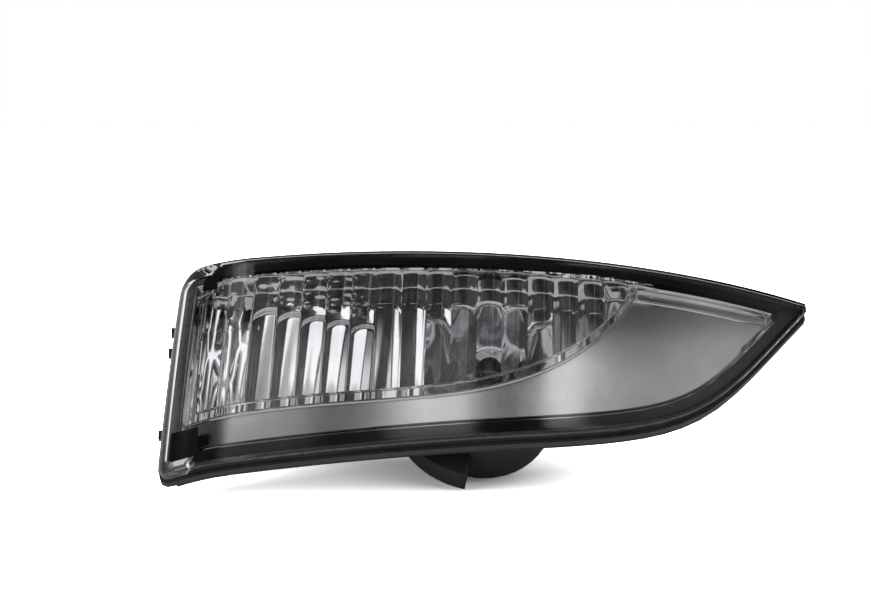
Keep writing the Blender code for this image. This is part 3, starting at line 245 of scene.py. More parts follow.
def piece(name, mesh, material, sharp, slot, *stands_for):
    """A finished piece on the lamp's one body, smooth but for edges over an angle."""
    mesh.shade_smooth()
    mesh.set_sharp_from_angle(angle=math.radians(sharp))
    mesh.materials.append(material)
    thing = bpy.data.objects.new(name, mesh)
    bpy.context.scene.collection.objects.link(thing)
    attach(thing, "root")
    if stands_for:
        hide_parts(*stands_for)
    return thing


def smooth_copy(source, name, material, sharp, slot):
    """The CAD node's own form with its points joined and its flat triangles made one."""
    bm = bmesh.new()
    bm.from_mesh(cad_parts[source].data)
    bmesh.ops.remove_doubles(bm, verts=bm.verts, dist=WELD_REACH)
    bmesh.ops.dissolve_limit(bm, angle_limit=FLAT_ANGLE, verts=bm.verts, edges=bm.edges)
    mesh = bpy.data.meshes.new(name)
    bm.to_mesh(mesh)
    bm.free()
    thing = piece(name, mesh, material, sharp, slot, source)
    even_shading = thing.modifiers.new("even_shading", "WEIGHTED_NORMAL")
    even_shading.keep_sharp = True


def object_place(material):
    """Object coordinates, which follow the piece."""
    return node(material, "ShaderNodeTexCoord", (-1300, 0)).outputs["Object"]


def noise(material, where, place, **values):
    """Noise at a place on the piece."""
    made = node(material, "ShaderNodeTexNoise", place, **values)
    link(material, where, made.inputs["Vector"])
    return made.outputs[0]


def tones(material, source, place, dark, light):
    """Colour from dark to light over the middle of a noise."""
    made = node(material, "ShaderNodeValToRGB", place)
    for element, position, colour in zip(made.color_ramp.elements, (0.3, 0.7), (dark, light)):
        element.position = position
        element.color = (*colour, 1.0)
    link(material, source, made.inputs[0])
    return made.outputs[0]


def spread(material, source, place, low, high, start=0.3, end=0.7):
    """A value from low to high over the middle of a noise."""
    made = node(material, "ShaderNodeMapRange", place, From_Min=start, From_Max=end, To_Min=low,
                To_Max=high)
    link(material, source, made.inputs["Value"])
    return made.outputs[0]


def relief(material, source, strength, depth):
    """Bump of a depth in metres from a noise."""
    made = node(material, "ShaderNodeBump", (-400, -160), Strength=strength, Distance=depth)
    link(material, source, made.inputs["Height"])
    return made.outputs[0]


def surface(material, colour, roughness, normal, **values):
    """The shader of a piece with its colour, roughness and bump linked; colour may be None."""
    made = node(material, "ShaderNodeBsdfPrincipled", (-160, 80), **values)
    if colour is not None:
        link(material, colour, made.inputs["Base Color"])
    link(material, roughness, made.inputs["Roughness"])
    link(material, normal, made.inputs["Normal"])
    return made.outputs[0]


def moulded_material(name, dark, light, rough, grain_scale, depth, gloss=0.5):
    """Moulded black plastic: a fine grain in the tool, faint flow marks and rubbed spots."""
    material = empty_material(name)
    where = object_place(material)
    grain = noise(material, where, (-880, -160), Scale=grain_scale, Detail=3.0)
    flow = noise(material, where, (-880, 120), Scale=60.0, Detail=5.0, Distortion=0.6)
    plastic = surface(material, tones(material, flow, (-640, 300), dark, light),
                      spread(material, flow, (-640, 60), *rough),
                      relief(material, grain, 0.25, depth), Specular_IOR_Level=gloss)
    show(material, plastic)
    return material


smooth_copy("housing", "black_housing",
            moulded_material("black_moulding", (0.007, 0.007, 0.008), (0.015, 0.015, 0.017),
                             (0.40, 0.56), 2400.0, 0.00004), 28.0, "black_moulding")


# Gasket strip: closed-cell foam with a sticky back, pressed on to the rear face of the
# flange along the lower edge.
smooth_copy("gasket_strip", "foam_strip",
            moulded_material("black_foam", (0.008, 0.008, 0.008), (0.022, 0.022, 0.022),
                             (0.85, 0.95), 1500.0, 0.0003), 30.0, "black_foam")


# Reflector: one plastic moulding, silvered in vacuum, that drops into the housing. Its
# blade and strip are satin; the trough, its upright ribs and the bowl are bright.
LEAN = math.radians(33.0)
END_X, END_SLANT, END_TOP_Z, END_LOW_Z = -0.0652, 0.066, 0.0214, -0.0240
TIP_X, TIP_Z, TIP_HEIGHT = 0.0656, 0.0096, 0.0016
TOP_HANDLES = ((-0.0250, 0.0226), (0.0310, 0.0196))
LOW_HANDLES = ((0.0456, -0.0140), (0.0440, -0.0182))
LOW_JOIN = (0.0115, -0.0202)
END_TOP_RADIUS, END_LOW_RADIUS, LEAST_RADIUS, EDGE_REACH = 0.0050, 0.0035, 0.0010, 0.0100
CROWN_LONG, CROWN_TALL, CROWN_X, CROWN_Z = 0.300, 0.140, 0.008, 0.002
ROLL_LENGTH, ROLL_RIM, RIM_DEPTH, GAP = 0.0155, 0.0042, 0.0032, 0.0003
RECESS_HANDLES = ((0.0110, -0.0196), (-0.0228, -0.0064))
RECESS_RIGHT, RECESS_END_Z = (0.0312, 0.0128), -0.0136
REFLECTOR_WALL, REFLECTOR_INSET, REFLECTOR_RIM = 0.0014, 0.0020, 0.0010
REFLECTOR_EDGE = RIM_DEPTH + GAP
BLADE_DEPTH, TROUGH_DEPTH, STEP_MARGIN, LIP_WIDTH = 0.0052, 0.0102, 0.0024, 0.0007
BOWL_RADIUS, BOWL_FOCUS, BULB_Z, BULB_OPENING = 0.0140, 0.0042, -0.0011, 0.0062
RIB_PITCH, RIB_RISE, RIB_START_X, RIB_COUNT = 0.0051, 0.00078, -0.0480, 5
RIB_HEAD_X, RIB_HEAD_Z, RIB_HEAD_FALL = -0.0457, 0.0138, 0.26
RIB_HEAD_ROUND, RIB_HEAD_RUN = 0.0030, 0.0016
PILLOW_WIDTH, SHORT_PILLOW, TALL_PILLOW = 0.0011, 0.0022, 0.0140
PILLOW_RISE, PILLOW_SHIFT = 0.00012, 0.37
PILLOW_STOP_X, PILLOW_STOP_RUN, PILLOW_CLEARANCE, PILLOW_FADE = -0.0230, 0.004, 0.0012, 0.0008
BEAD_RISE, BEAD_WIDTH, BRIM, BRIM_TOP = 0.00025, 0.0005, 0.0013, 0.0005
SILVER_BEAD, FOOT_BAND, WALL_BAND = 0.0007, 0.0005, 0.0010
NARROW_BELOW, NARROW_ABOVE, LEAST_SHARE = 0.012, 0.006, 0.05
RECESS_RUN_OUT = 0.005


def bezier(points, count=400):
    """Points along a cubic Bezier curve."""
    t = np.linspace(0.0, 1.0, count)[:, None]
    a, b, c, d = (np.array(p) for p in points)
    return (1 - t) ** 3 * a + 3 * (1 - t) ** 2 * t * b + 3 * (1 - t) * t * t * c + t ** 3 * d


def outer_edges():
    """Top and lower edge of the face from the blunt end to the tip: one Bezier curve for
    the top; a straight run and a Bezier curve for the lower edge."""
    reach = END_X - EDGE_REACH
    top = bezier(((END_X, END_TOP_Z), *TOP_HANDLES, (TIP_X, TIP_Z + TIP_HEIGHT / 2)))
    rise = (top[1, 1] - top[0, 1]) / (top[1, 0] - top[0, 0])
    top = np.vstack([[reach, top[0, 1] - EDGE_REACH * rise], top])
    curved = bezier(((TIP_X, TIP_Z - TIP_HEIGHT / 2), *LOW_HANDLES, LOW_JOIN))[::-1]
    slope = (LOW_JOIN[1] - END_LOW_Z) / (LOW_JOIN[0] - END_X)
    straight = np.linspace((reach, END_LOW_Z - EDGE_REACH * slope), LOW_JOIN, 60)[:-1]
    return top, np.vstack([straight, curved])


def inset_edge(edge, distance):
    """Moves an edge sideways along its own normals."""
    along = np.gradient(edge, axis=0)
    along /= np.linalg.norm(along, axis=1)[:, None]
    moved = edge + distance * np.column_stack([-along[:, 1], along[:, 0]])
    return moved[np.r_[True, np.diff(moved[:, 0]) > 0]]


class Leaf:
    """The outline of the face moved inwards by an inset, as heights over x."""

    def __init__(self, inset, top=None, low=None, end=None):
        upper, lower = outer_edges()
        self.top_edge = inset_edge(upper, -(inset if top is None else top))
        self.low_edge = inset_edge(lower, inset if low is None else low)
        self.end = END_X + (inset if end is None else end)
        x = np.linspace(END_X, TIP_X, 2000) - min(inset, 0.0) * np.linspace(0, 1, 2000)
        self.tip = x[self.top(x) - self.low(x) > TIP_HEIGHT * 0.999].max()
        self.top_radius = max(END_TOP_RADIUS - max(inset, 0.0), LEAST_RADIUS)
        self.low_radius = max(END_LOW_RADIUS - max(inset, 0.0), LEAST_RADIUS)

    def top(self, x):
        return np.interp(x, self.top_edge[:, 0], self.top_edge[:, 1])

    def low(self, x):
        return np.interp(x, self.low_edge[:, 0], self.low_edge[:, 1])


def slant(station):
    """Lean of the upright lines: that of the blunt end, dying away to none at the tip."""
    return END_SLANT * np.clip((TIP_X - station) / (TIP_X - END_X), 0.0, 1.0)


def corner(from_end, radius):
    """How far a rounded corner pulls an edge in, at a distance from the blunt end."""
    c = 1.0 - np.clip(from_end / radius, 0.0, 1.0)
    return radius * (1.0 - np.sqrt(1.0 - c * c))


def place(leaf, station, level, rows):
    """x and z over station, 0 at the blunt end and 1 at the tip, and level, 0 at the
    lower edge and 1 at the top; rows bends the levels to the recess."""
    s = leaf.end + (leaf.tip - leaf.end) * station
    x = s.copy()
    for _ in range(8):
        top = leaf.top(x) - corner(s - leaf.end, leaf.top_radius)
        low = leaf.low(x) + corner(s - leaf.end, leaf.low_radius)
        z = rows(x, low, top, level)
        x = s + slant(s) * z
    return x, z


def crown(x, z):
    """Barrel form of the face: a parabola along the lamp plus one across it."""
    return (x - CROWN_X) ** 2 / (2 * CROWN_LONG) + (z - CROWN_Z) ** 2 / (2 * CROWN_TALL)


def end_share(x, z):
    """0 where the blunt end starts to roll back, 1 at its edge."""
    return np.clip((END_X + END_SLANT * z + ROLL_LENGTH - x) / ROLL_LENGTH, 0.0, 1.0)


def rim(x, z):
    """Depth of the parting face less RIM_DEPTH: crown and a parabolic drop at the end."""
    return crown(x, z) + ROLL_RIM * end_share(x, z) ** 2


def recess_edge(x, shift=0.0):
    """Height of the lower edge of the recess over x, a Bezier curve moved down by a shift."""
    curve = bezier(((END_X, RECESS_END_Z), *RECESS_HANDLES[::-1], RECESS_RIGHT))
    moved = inset_edge(curve, -shift)
    return np.interp(x, moved[:, 0], moved[:, 1])


def bowl(x, z, extra):
    """Paraboloid about the bulb axis, or the surface a distance extra outside it."""
    reach = BOWL_RADIUS + extra
    depth = BOWL_RADIUS ** 2 / (4 * BOWL_FOCUS)
    return TROUGH_DEPTH + extra + depth * (1.0 - (x ** 2 + (z - BULB_Z) ** 2) / reach ** 2)


def smooth(t):
    """0 to 1 with flat ends."""
    t = np.clip(t, 0.0, 1.0)
    return t * t * (3.0 - 2.0 * t)


def rib_heads(x):
    """Height of the straight line along the heads of the ribs, which falls towards the bowl."""
    return RIB_HEAD_Z - RIB_HEAD_FALL * (x - RIB_HEAD_X)


def ribs(x, z):
    """Upright ribs of the trough: each is a parabola of one pitch, RIB_RISE high, and its
    rounded head is a parabola that hangs from the line of the heads."""
    run = (x - END_SLANT * z - RIB_START_X) / RIB_PITCH
    phase = run % 1.0 - 0.5
    head = rib_heads(x) - RIB_HEAD_ROUND * (2.0 * phase) ** 2
    among = (run > 0.0) & (run < RIB_COUNT)
    return RIB_RISE * (1.0 - 4.0 * phase ** 2) * among * smooth((head - z) / RIB_HEAD_RUN)


def pillows(x, z):
    """Small cushion facets, tall ones at the blunt end of the trough and short ones over
    the heads of the ribs: each is a parabola of one pitch along x times a fourth power
    of one pitch along z, and each column is shifted against the last."""
    run = x - END_SLANT * z
    column = np.floor(run / PILLOW_WIDTH)
    across = (run / PILLOW_WIDTH) % 1.0 - 0.5
    end = smooth((RIB_START_X - run) / PILLOW_FADE)
    over = smooth((z - rib_heads(x) - PILLOW_CLEARANCE) / PILLOW_FADE)
    over = over * smooth((PILLOW_STOP_X - x) / PILLOW_STOP_RUN)
    facets = np.zeros(x.shape)
    for pitch, where in ((TALL_PILLOW, end * (1.0 - over)), (SHORT_PILLOW, over)):
        upward = (z / pitch + PILLOW_SHIFT * column) % 1.0 - 0.5
        cushion = (1.0 - 4.0 * across ** 2) * (1.0 - 16.0 * upward ** 4)
        facets = facets + PILLOW_RISE * cushion * where
    return facets


def edge_loop(rows, columns):
    """Row and column numbers once round the edge of a grid, seen from the front."""
    low = np.stack([np.zeros(columns, int), np.arange(columns)], -1)
    tip = np.stack([np.arange(1, rows), np.full(rows - 1, columns - 1)], -1)
    top = np.stack([np.full(columns - 1, rows - 1), np.arange(columns - 2, -1, -1)], -1)
    end = np.stack([np.arange(rows - 2, 0, -1), np.zeros(rows - 2, int)], -1)
    return np.vstack([low, tip, top, end])


def reflector_face(leaf, extra, edge_depth):
    """Grid of the face: the blade depth below and right of the recess edge, the trough or
    the bowl, whichever is deeper, above it, and smooth steps between. The front, where
    extra is 0, also has the ribs, the facets and two beads, each half a sine wave. The
    rows stand in bands of their own widths: brim, strip, bead, foot of the step, floor,
    wall and top brim, each given as its first level, last level and number of rows."""
    bands = ((0.0, 0.06, 12), (0.06, 0.28, 12), (0.28, 0.30, 6), (0.30, 0.33, 9), (0.33, 0.93, 60),
             (0.93, 0.965, 9), (0.965, 1.0, 8))
    bead_start, foot_start, floor_start = bands[2][0], bands[3][0], bands[4][0]
    levels = np.r_[0.0, np.concatenate([np.linspace(a, b, count + 1)[1:] for a, b, count in bands])]
    length = leaf.tip - leaf.end
    bends = leaf.top_radius * (1 - np.cos(np.linspace(0.0, math.pi / 2, 9))) / length
    dense = (PILLOW_STOP_X - leaf.end) / length
    stations = np.r_[bends, np.linspace(bends[-1], dense, 196)[1:],
                     np.linspace(dense, 1.0, 170)[1:]]
    S, L = np.meshgrid(stations, levels)

    def rows(x, low, top, level):
        below = np.clip((top - low) / NARROW_BELOW, LEAST_SHARE, 1.0)
        edge = np.minimum(recess_edge(x, extra), top - np.minimum(STEP_MARGIN, 0.5 * (top - low)))
        above = np.clip((top - edge) / NARROW_ABOVE, LEAST_SHARE, 1.0)
        brim, bead = (BRIM + LIP_WIDTH) * below, SILVER_BEAD * below
        foot, wall, top_brim = FOOT_BAND * above, WALL_BAND * above, BRIM_TOP * above
        widths = (brim, edge - low - brim - bead, bead, foot,
                  top - edge - foot - wall - top_brim, wall, top_brim)
        z = low
        for (a, b, _), width in zip(bands, widths):
            z = z + width * np.clip((level - a) / (b - a), 0.0, 1.0)
        return z

    x, z = place(leaf, S, L, rows)
    core = np.hypot(x, z - BULB_Z) < BULB_OPENING
    hole = (core[:-1, :-1] & core[:-1, 1:] & core[1:, 1:] & core[1:, :-1])
    blade = rim(x, z) + BLADE_DEPTH + extra
    floor = np.maximum(crown(x, z) + TROUGH_DEPTH + extra, bowl(x, z, extra))
    if extra == 0.0:
        floor = floor - ribs(x, z) - pillows(x, z)
        along = np.clip((L - bead_start) / (foot_start - bead_start), 0.0, 1.0)
        blade = blade - BEAD_RISE * np.sin(np.pi * along)
    fade = smooth((RECESS_RIGHT[0] - x) / RECESS_RUN_OUT)
    into = smooth((L - foot_start) / (floor_start - foot_start))
    y = blade + (floor - blade) * fade * into
    s = leaf.end + length * S
    top = leaf.top(x) - corner(s - leaf.end, leaf.top_radius)
    low = leaf.low(x) + corner(s - leaf.end, leaf.low_radius)
    sides = np.minimum(np.minimum(z - low, s - leaf.end), leaf.tip - s)
    inside = np.minimum(sides - BRIM, top - z - BRIM_TOP)
    lip = smooth(1.0 - inside / LIP_WIDTH)
    brim = rim(x, z) + edge_depth
    if extra == 0.0:
        brim = brim - BEAD_RISE * np.sin(np.pi * np.clip(inside / BEAD_WIDTH + 1.0, 0.0, 1.0))
    y = y + (brim - y) * lip
    recess = np.maximum(into * fade, lip)
    loop = edge_loop(*S.shape)

    def ring(other, depth):
        rx, rz = place(other, S[loop[:, 0], loop[:, 1]], L[loop[:, 0], loop[:, 1]], rows)
        return rx, rim(rx, rz) + depth, rz

    return (x, y, z), ring, recess, hole


def leaned(x, y, z):
    """Points of the lamp's own axes leaned back to the row's axes."""
    c, s = math.cos(LEAN), math.sin(LEAN)
    return np.stack([x, c * y + s * z, -s * y + c * z], axis=-1).reshape(-1, 3)


def grid_quads(rows, columns, start, flip):
    """Quads of a grid of points that is numbered from start."""
    n = start + np.arange(rows * columns).reshape(rows, columns)
    quads = np.stack([n[:-1, :-1], n[:-1, 1:], n[1:, 1:], n[1:, :-1]], -1).reshape(-1, 4)
    return quads[:, ::-1] if flip else quads


def shell_mesh(name, front, rings, back, hole=None, share=None):
    """A closed skin: a front grid, loops of points round it from front to back, and a
    back grid of as many rows and columns. A hole, marked quad by quad, goes through both
    grids: its edge is walled. A share per front point is kept as the attribute recess."""
    rows, columns = front[0].shape
    loop = edge_loop(rows, columns)
    border = loop[:, 0] * columns + loop[:, 1]
    count = rows * columns
    points = np.vstack([leaned(*front)] + [leaned(*ring) for ring in rings] + [leaned(*back)])
    chain = [border]
    for k in range(len(rings)):
        chain.append(count + k * len(border) + np.arange(len(border)))
    back_start = count + len(rings) * len(border)
    chain.append(back_start + border)
    skins = [grid_quads(rows, columns, 0, False), grid_quads(rows, columns, back_start, True)]
    quads = []
    if hole is not None:
        cut = skins[0][hole.ravel()]
        sides = np.vstack([cut[:, [k, (k + 1) % 4]] for k in range(4)])
        ahead = sides[:, 0] * len(points) + sides[:, 1]
        behind = sides[:, 1] * len(points) + sides[:, 0]
        once = sides[~np.isin(ahead, behind)]
        a, b = once.T
        quads.append(np.stack([a, b, b + back_start, a + back_start], -1))
        skins = [skin[~hole.ravel()] for skin in skins]
    quads += skins
    for a, b in zip(chain, chain[1:]):
        quads.append(np.stack([a, b, np.roll(b, -1), np.roll(a, -1)], -1))
    quads = np.vstack(quads)
    kept = np.zeros(len(points), bool)
    kept[quads.ravel()] = True
    quads = (np.cumsum(kept) - 1)[quads]
    mesh = bpy.data.meshes.new(name)
    mesh.from_pydata(points[kept].tolist(), [], quads.tolist())
    if share is not None:
        values = np.zeros(len(points), np.float32)
        values[:count] = share.ravel()
        mesh.attributes.new("recess", "FLOAT", "POINT").data.foreach_set("value", values[kept])
    return mesh


def on_circle(grid, hole, extra):
    """Moves the points round the hole out or in to the circle of the bulb opening, and
    to the depth that the bowl has there."""
    x, y, z = grid
    inside = np.zeros(x.shape, int)
    for rows in (slice(None, -1), slice(1, None)):
        for columns in (slice(None, -1), slice(1, None)):
            inside[rows, columns] += hole
    edge = (inside > 0) & (inside < 4)
    radius = np.hypot(x, z - BULB_Z)
    scale = np.where(edge, BULB_OPENING / np.maximum(radius, 1e-9), 1.0)
    x = x * scale
    z = BULB_Z + (z - BULB_Z) * scale
    return x, np.where(edge, bowl(x, z, extra), y), z


def reflector_mesh():
    """The moulding between its silvered face and its back, with the bulb opening cut
    through both grids."""
    inner, outer = Leaf(REFLECTOR_INSET + REFLECTOR_WALL), Leaf(REFLECTOR_INSET)
    front, _, recess, hole = reflector_face(inner, 0.0, REFLECTOR_EDGE)
    back, ring, _, _ = reflector_face(outer, REFLECTOR_WALL, REFLECTOR_EDGE + REFLECTOR_RIM)
    return shell_mesh("silvered_reflector", on_circle(front, hole, 0.0),
                      [ring(outer, REFLECTOR_EDGE)], on_circle(back, hole, REFLECTOR_WALL),
                      hole, recess)


def silver_material():
    """Silvered plastic: satin and slightly grainy on the blade, bright in the recess."""
    material = empty_material("silvered")
    where = object_place(material)
    share = node(material, "ShaderNodeAttribute", (-1300, 300), attribute_name="recess")
    grain = noise(material, where, (-1080, 60), Scale=3800.0, Detail=2.0)
    cloud = noise(material, where, (-1080, -160), Scale=70.0, Detail=4.0)
    rough = node(material, "ShaderNodeMix", (-620, 60), data_type="FLOAT")
    link(material, share.outputs["Fac"], rough.inputs[0])
    link(material, spread(material, grain, (-860, 60), 0.15, 0.20), rough.inputs[2])
    link(material, spread(material, cloud, (-860, -160), 0.03, 0.08), rough.inputs[3])
    colour = tones(material, cloud, (-860, 420), (0.68, 0.68, 0.70), (0.90, 0.90, 0.905))
    show(material, surface(material, colour, rough.outputs[0],
                           relief(material, grain, 0.05, 0.00003), Metallic=1.0))
    return material


piece("silvered_reflector", reflector_mesh(), silver_material(), 40.0, "silvered", "reflector")


# Frame: a band of glossy black plastic, shot on to the lens as its second material,
# with a foot at the top and the lower corner of the blunt end.
smooth_copy("lens_frame", "black_frame",
            moulded_material("black_gloss", (0.002, 0.002, 0.003), (0.005, 0.005, 0.006),
                             (0.10, 0.18), 240.0, 0.000004, 0.08), 30.0, "black_gloss")


# Sealant: a bead of black sealant, squeezed between the frame and the flange when the
# lens is set, that stays slightly uneven.
smooth_copy("sealant_bead", "sealant",
            moulded_material("black_sealant", (0.010, 0.010, 0.010), (0.026, 0.026, 0.026),
                             (0.30, 0.60), 700.0, 0.0002), 40.0, "black_sealant")


# Lens: one clear acrylic moulding, polished outside, that rolls round the blunt end.
# Upright flutes stand on its inside over the recess of the reflector.
LENS_EDGE, LENS_SKIN, LENS_SKIRT, LENS_LIP, LENS_FILLET = 0.0009, 0.0019, 0.0017, 0.0004, 0.0008
ROLL_DEPTH, ROLL_THINNING = 0.0060, 0.0012
FLUTE_PITCH, FLUTE_COUNT, FLUTE_START_X = 0.0051, 18, -0.0582
FLUTE_PAD, FLUTE_RISE, FLUTE_RISE_BOWL, FLUTE_RISE_RUN = 0.0004, 0.0004, 0.0008, 0.006
FLUTE_MARGIN, FLUTE_SAMPLES = 0.0011, 14
RIM_BEAD, RIM_BEAD_RISE, RIM_BEAD_RUN_OUT = 0.0007, 0.0004, 0.003
EDGE_STEP, EDGE_FLATNESS, EDGE_ANGLES = 0.004, 0.8, (22.5, 45.0, 67.5, 90.0)
FRAME_END_X, SKIRT_CLEARANCE, SKIRT_RUN_OUT, SKIRT_BLEND = -0.0570, 0.0006, 0.0012, 0.0100
FOOT_REACH_TOP, FOOT_TOP_Z = 0.0089, 0.0160


def roll(x, z):
    """Quarter ellipse from 0 to 1 over the blunt end."""
    return 1.0 - np.sqrt(1.0 - end_share(x, z) ** 2)


def skin(x, z):
    """Depth of the front of the lens: crown and roll."""
    return crown(x, z) + ROLL_DEPTH * roll(x, z)


def lens_back(x, z):
    """Inner surface between the flutes: the crown, rolled a wall's width further in."""
    rolled = crown(x, z) + (ROLL_DEPTH - ROLL_THINNING) * roll(x - LENS_SKIRT, z)
    return rolled + LENS_SKIN


def lens_mesh():
    """The skin between its outer and inner faces. The edge is a quarter ellipse. The inner
    face carries flutes: along x each is a parabola of one pitch, as high as FLUTE_RISE
    over the ribs and FLUTE_RISE_BOWL over the bowl, on a pad that starts along the recess
    in a bead, half a sine wave high, and ends below the top edge in a step."""
    outside = Leaf(LENS_EDGE, end=LENS_EDGE)
    inside = Leaf(LENS_SKIRT + LENS_FILLET)
    length = outside.tip - outside.end
    flutes_end = FLUTE_START_X + FLUTE_PITCH * FLUTE_COUNT
    ticks = FLUTE_START_X + FLUTE_PITCH * np.arange(FLUTE_COUNT * FLUTE_SAMPLES + 1) / FLUTE_SAMPLES
    bends = outside.top_radius * (1 - np.cos(np.linspace(0.0, math.pi / 2, 9))) / length
    first = bends[bends < (ticks[0] - outside.end) / length - 0.002]
    between = np.linspace(first[-1], (ticks[0] - outside.end) / length, 8)[1:-1]
    right = np.linspace(ticks[-1] + 0.002, outside.tip - 0.001, 24)
    stations = np.r_[first, between, (ticks - outside.end) / length,
                     (right - outside.end) / length, 1.0]
    low, edge, high = 0.30, 0.33, 0.96
    levels = np.r_[np.linspace(0.0, low, 12), np.linspace(low, edge, 9)[1:],
                   np.linspace(edge, high, 30)[1:], high + EDGE_STEP,
                   np.linspace(high + EDGE_STEP, 1.0, 5)[1:]]
    S, L = np.meshgrid(stations, levels)

    def rows(x, bottom, top, level):
        cut = np.minimum(recess_edge(x), top - np.minimum(STEP_MARGIN, 0.5 * (top - bottom)))
        band = RIM_BEAD * np.clip((top - cut) / NARROW_ABOVE, LEAST_SHARE, 1.0)
        below = bottom + (cut - bottom) * np.clip(level / low, 0, 1)
        bead = band * np.clip((level - low) / (edge - low), 0, 1)
        return below + bead + (top - cut - band) * np.clip((level - edge) / (1 - edge), 0, 1)

    x, z = place(outside, S, L, rows)
    x_in, z_in = place(inside, S, L, rows)
    phase = ((x_in - slant(x_in) * z_in - FLUTE_START_X) / FLUTE_PITCH) % 1.0 - 0.5
    zone = (L >= edge - 1e-6) & (L <= high + 1e-6)
    zone &= (x_in < flutes_end) & (x_in > FLUTE_START_X)
    zone &= inside.top(x_in) - z_in > FLUTE_MARGIN
    foot_end = END_X + END_SLANT * z_in + FOOT_REACH_TOP + FLUTE_PITCH / 4
    zone &= (x_in > foot_end) | (z_in < FOOT_TOP_Z - 2 * FLUTE_MARGIN)
    over_bowl = smooth((x_in - PILLOW_STOP_X) / FLUTE_RISE_RUN)
    rise = FLUTE_RISE + (FLUTE_RISE_BOWL - FLUTE_RISE) * over_bowl
    flute = (FLUTE_PAD + rise * (1.0 - 4.0 * phase ** 2)) * zone
    along = (x_in > FLUTE_START_X) & (x_in < RECESS_RIGHT[0] + RIM_BEAD_RUN_OUT)
    flute += RIM_BEAD_RISE * np.sin(np.pi * np.clip((L - low) / (edge - low), 0.0, 1.0)) * along
    loop = edge_loop(*S.shape)
    s, l = S[loop[:, 0], loop[:, 1]], L[loop[:, 0], loop[:, 1]]
    rings = []
    for angle in np.radians(EDGE_ANGLES):
        leaf = Leaf(LENS_EDGE * (1 - math.sin(angle)), end=LENS_EDGE * (1 - math.sin(angle)))
        rx, rz = place(leaf, s, l, rows)
        rings.append((rx, skin(rx, rz) + LENS_EDGE * EDGE_FLATNESS * (1 - math.cos(angle)), rz))
    rx, rz = place(Leaf(0.0), s, l, rows)
    end = np.clip((FRAME_END_X - SKIRT_CLEARANCE - rx + END_SLANT * rz) / SKIRT_RUN_OUT, 0.0, 1.0)
    deep = (1 - end) * (skin(rx, rz) + LENS_SKIN - LENS_LIP) + end * (rim(rx, rz) + RIM_DEPTH)
    rings.append((rx, deep, rz))
    qx, qz = place(Leaf(LENS_SKIRT, top=LENS_LIP, low=LENS_LIP), s, l, rows)
    wide = LENS_SKIRT - LENS_LIP
    qz = qz + end * wide * np.clip((CROWN_Z - qz) / SKIRT_BLEND, -1.0, 1.0)
    q_end = np.clip((FRAME_END_X - SKIRT_CLEARANCE - qx + END_SLANT * qz) / SKIRT_RUN_OUT, 0.0, 1.0)
    deep = (1 - q_end) * (skin(qx, qz) + LENS_SKIN) + q_end * (rim(qx, qz) + RIM_DEPTH)
    rings.append((qx, deep, qz))
    back = (x_in, lens_back(x_in, z_in) + flute, z_in)
    return shell_mesh("clear_lens", (x, skin(x, z), z), rings, back)


def clear_material(name, tint, roughness, ior):
    """Clear glass or acrylic. Fine haze and dust raise its roughness in faint patches, and
    it lets the light of the lamps through to what lies behind it."""
    material = empty_material(name)
    where = object_place(material)
    haze = noise(material, where, (-900, 120), Scale=160.0, Detail=2.0, Roughness=0.6)
    ripple = noise(material, where, (-900, -160), Scale=70.0, Detail=2.0)
    level = spread(material, haze, (-680, 120), roughness, roughness + 0.03, 0.45, 0.75)
    clear = surface(material, None, level, relief(material, ripple, 0.05, 0.0004),
                    Base_Color=(*tint, 1.0), IOR=ior, Transmission_Weight=1.0)
    through = node(material, "ShaderNodeBsdfTransparent", (-220, -360),
                   Color=(0.96, 0.96, 0.96, 1.0))
    kind = node(material, "ShaderNodeLightPath", (-220, 460))
    mix = node(material, "ShaderNodeMixShader", (80, 80))
    link(material, kind.outputs["Is Shadow Ray"], mix.inputs[0])
    link(material, clear, mix.inputs[1])
    link(material, through.outputs[0], mix.inputs[2])
    show(material, mix.outputs[0])
    return material


piece("clear_lens", lens_mesh(),
      clear_material("clear_acrylic", (0.985, 0.99, 0.995), 0.01, 1.49), 35.0,
      "clear_acrylic", "outer_lens")


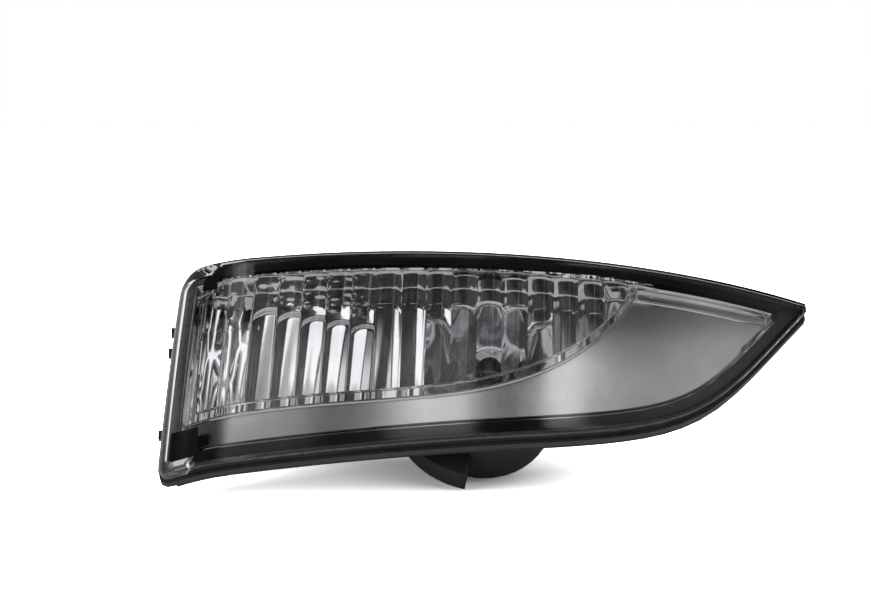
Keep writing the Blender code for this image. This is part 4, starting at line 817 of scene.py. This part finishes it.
# Bulb holder: a twist-lock moulding of dark grey plastic with its rubber ring, locked in
# the mouth of the can by three lugs, and its connector shroud behind.
smooth_copy("holder_seal", "rubber_ring",
            moulded_material("seal_rubber", (0.014, 0.014, 0.015), (0.026, 0.026, 0.027),
                             (0.60, 0.80), 1200.0, 0.00005), 30.0, "seal_rubber")
smooth_copy("bulb_holder", "twist_holder",
            moulded_material("holder_moulding", (0.035, 0.035, 0.038), (0.055, 0.055, 0.058),
                             (0.40, 0.55), 2200.0, 0.00004), 28.0, "holder_moulding")


# Contacts: two blades stamped from brass strip, pressed through the floor of the holder.
def drawn_metal(name, dark, light, rough):
    """Drawn or stamped metal with faint tarnish and fine drawing marks."""
    material = empty_material(name)
    where = object_place(material)
    tarnish = noise(material, where, (-880, 120), Scale=400.0, Detail=4.0)
    marks = noise(material, where, (-880, -160), Scale=3000.0, Detail=3.0)
    show(material, surface(material, tones(material, tarnish, (-640, 300), dark, light),
                           spread(material, tarnish, (-640, 60), *rough),
                           relief(material, marks, 0.15, 0.00001), Metallic=1.0))
    return material


brass = drawn_metal("contact_brass", (0.52, 0.40, 0.20), (0.74, 0.60, 0.34), (0.24, 0.38))
smooth_copy("contact_upper", "upper_contact", brass, 30.0, "contact_brass")
smooth_copy("contact_lower", "lower_contact", brass, 30.0, "contact_brass")


# Bulb: a glass wedge bulb, pushed into the holder from the front. Its two leads fold
# over the wedge, and the coiled filament hangs between them.
smooth_copy("bulb_glass", "wedge_bulb",
            clear_material("bulb_glass", (0.97, 0.98, 0.985), 0.0, 1.5), 30.0, "bulb_glass")
wire = drawn_metal("lead_wire", (0.40, 0.38, 0.36), (0.60, 0.58, 0.55), (0.28, 0.42))
smooth_copy("bulb_lead_left", "left_lead", wire, 40.0, "lead_wire")
smooth_copy("bulb_lead_right", "right_lead", wire, 40.0, "lead_wire")
smooth_copy("bulb_filament", "filament",
            drawn_metal("tungsten", (0.25, 0.24, 0.23), (0.38, 0.37, 0.36), (0.34, 0.48)), 60.0,
            "tungsten")


# The picture: plain view settings and light paths long enough for the lens before the
# reflector.
scene = bpy.context.scene
scene.view_settings.view_transform = "Standard"
scene.cycles.max_bounces = 24
scene.cycles.transmission_bounces = 20
scene.cycles.glossy_bounces = 12
scene.cycles.transparent_max_bounces = 16
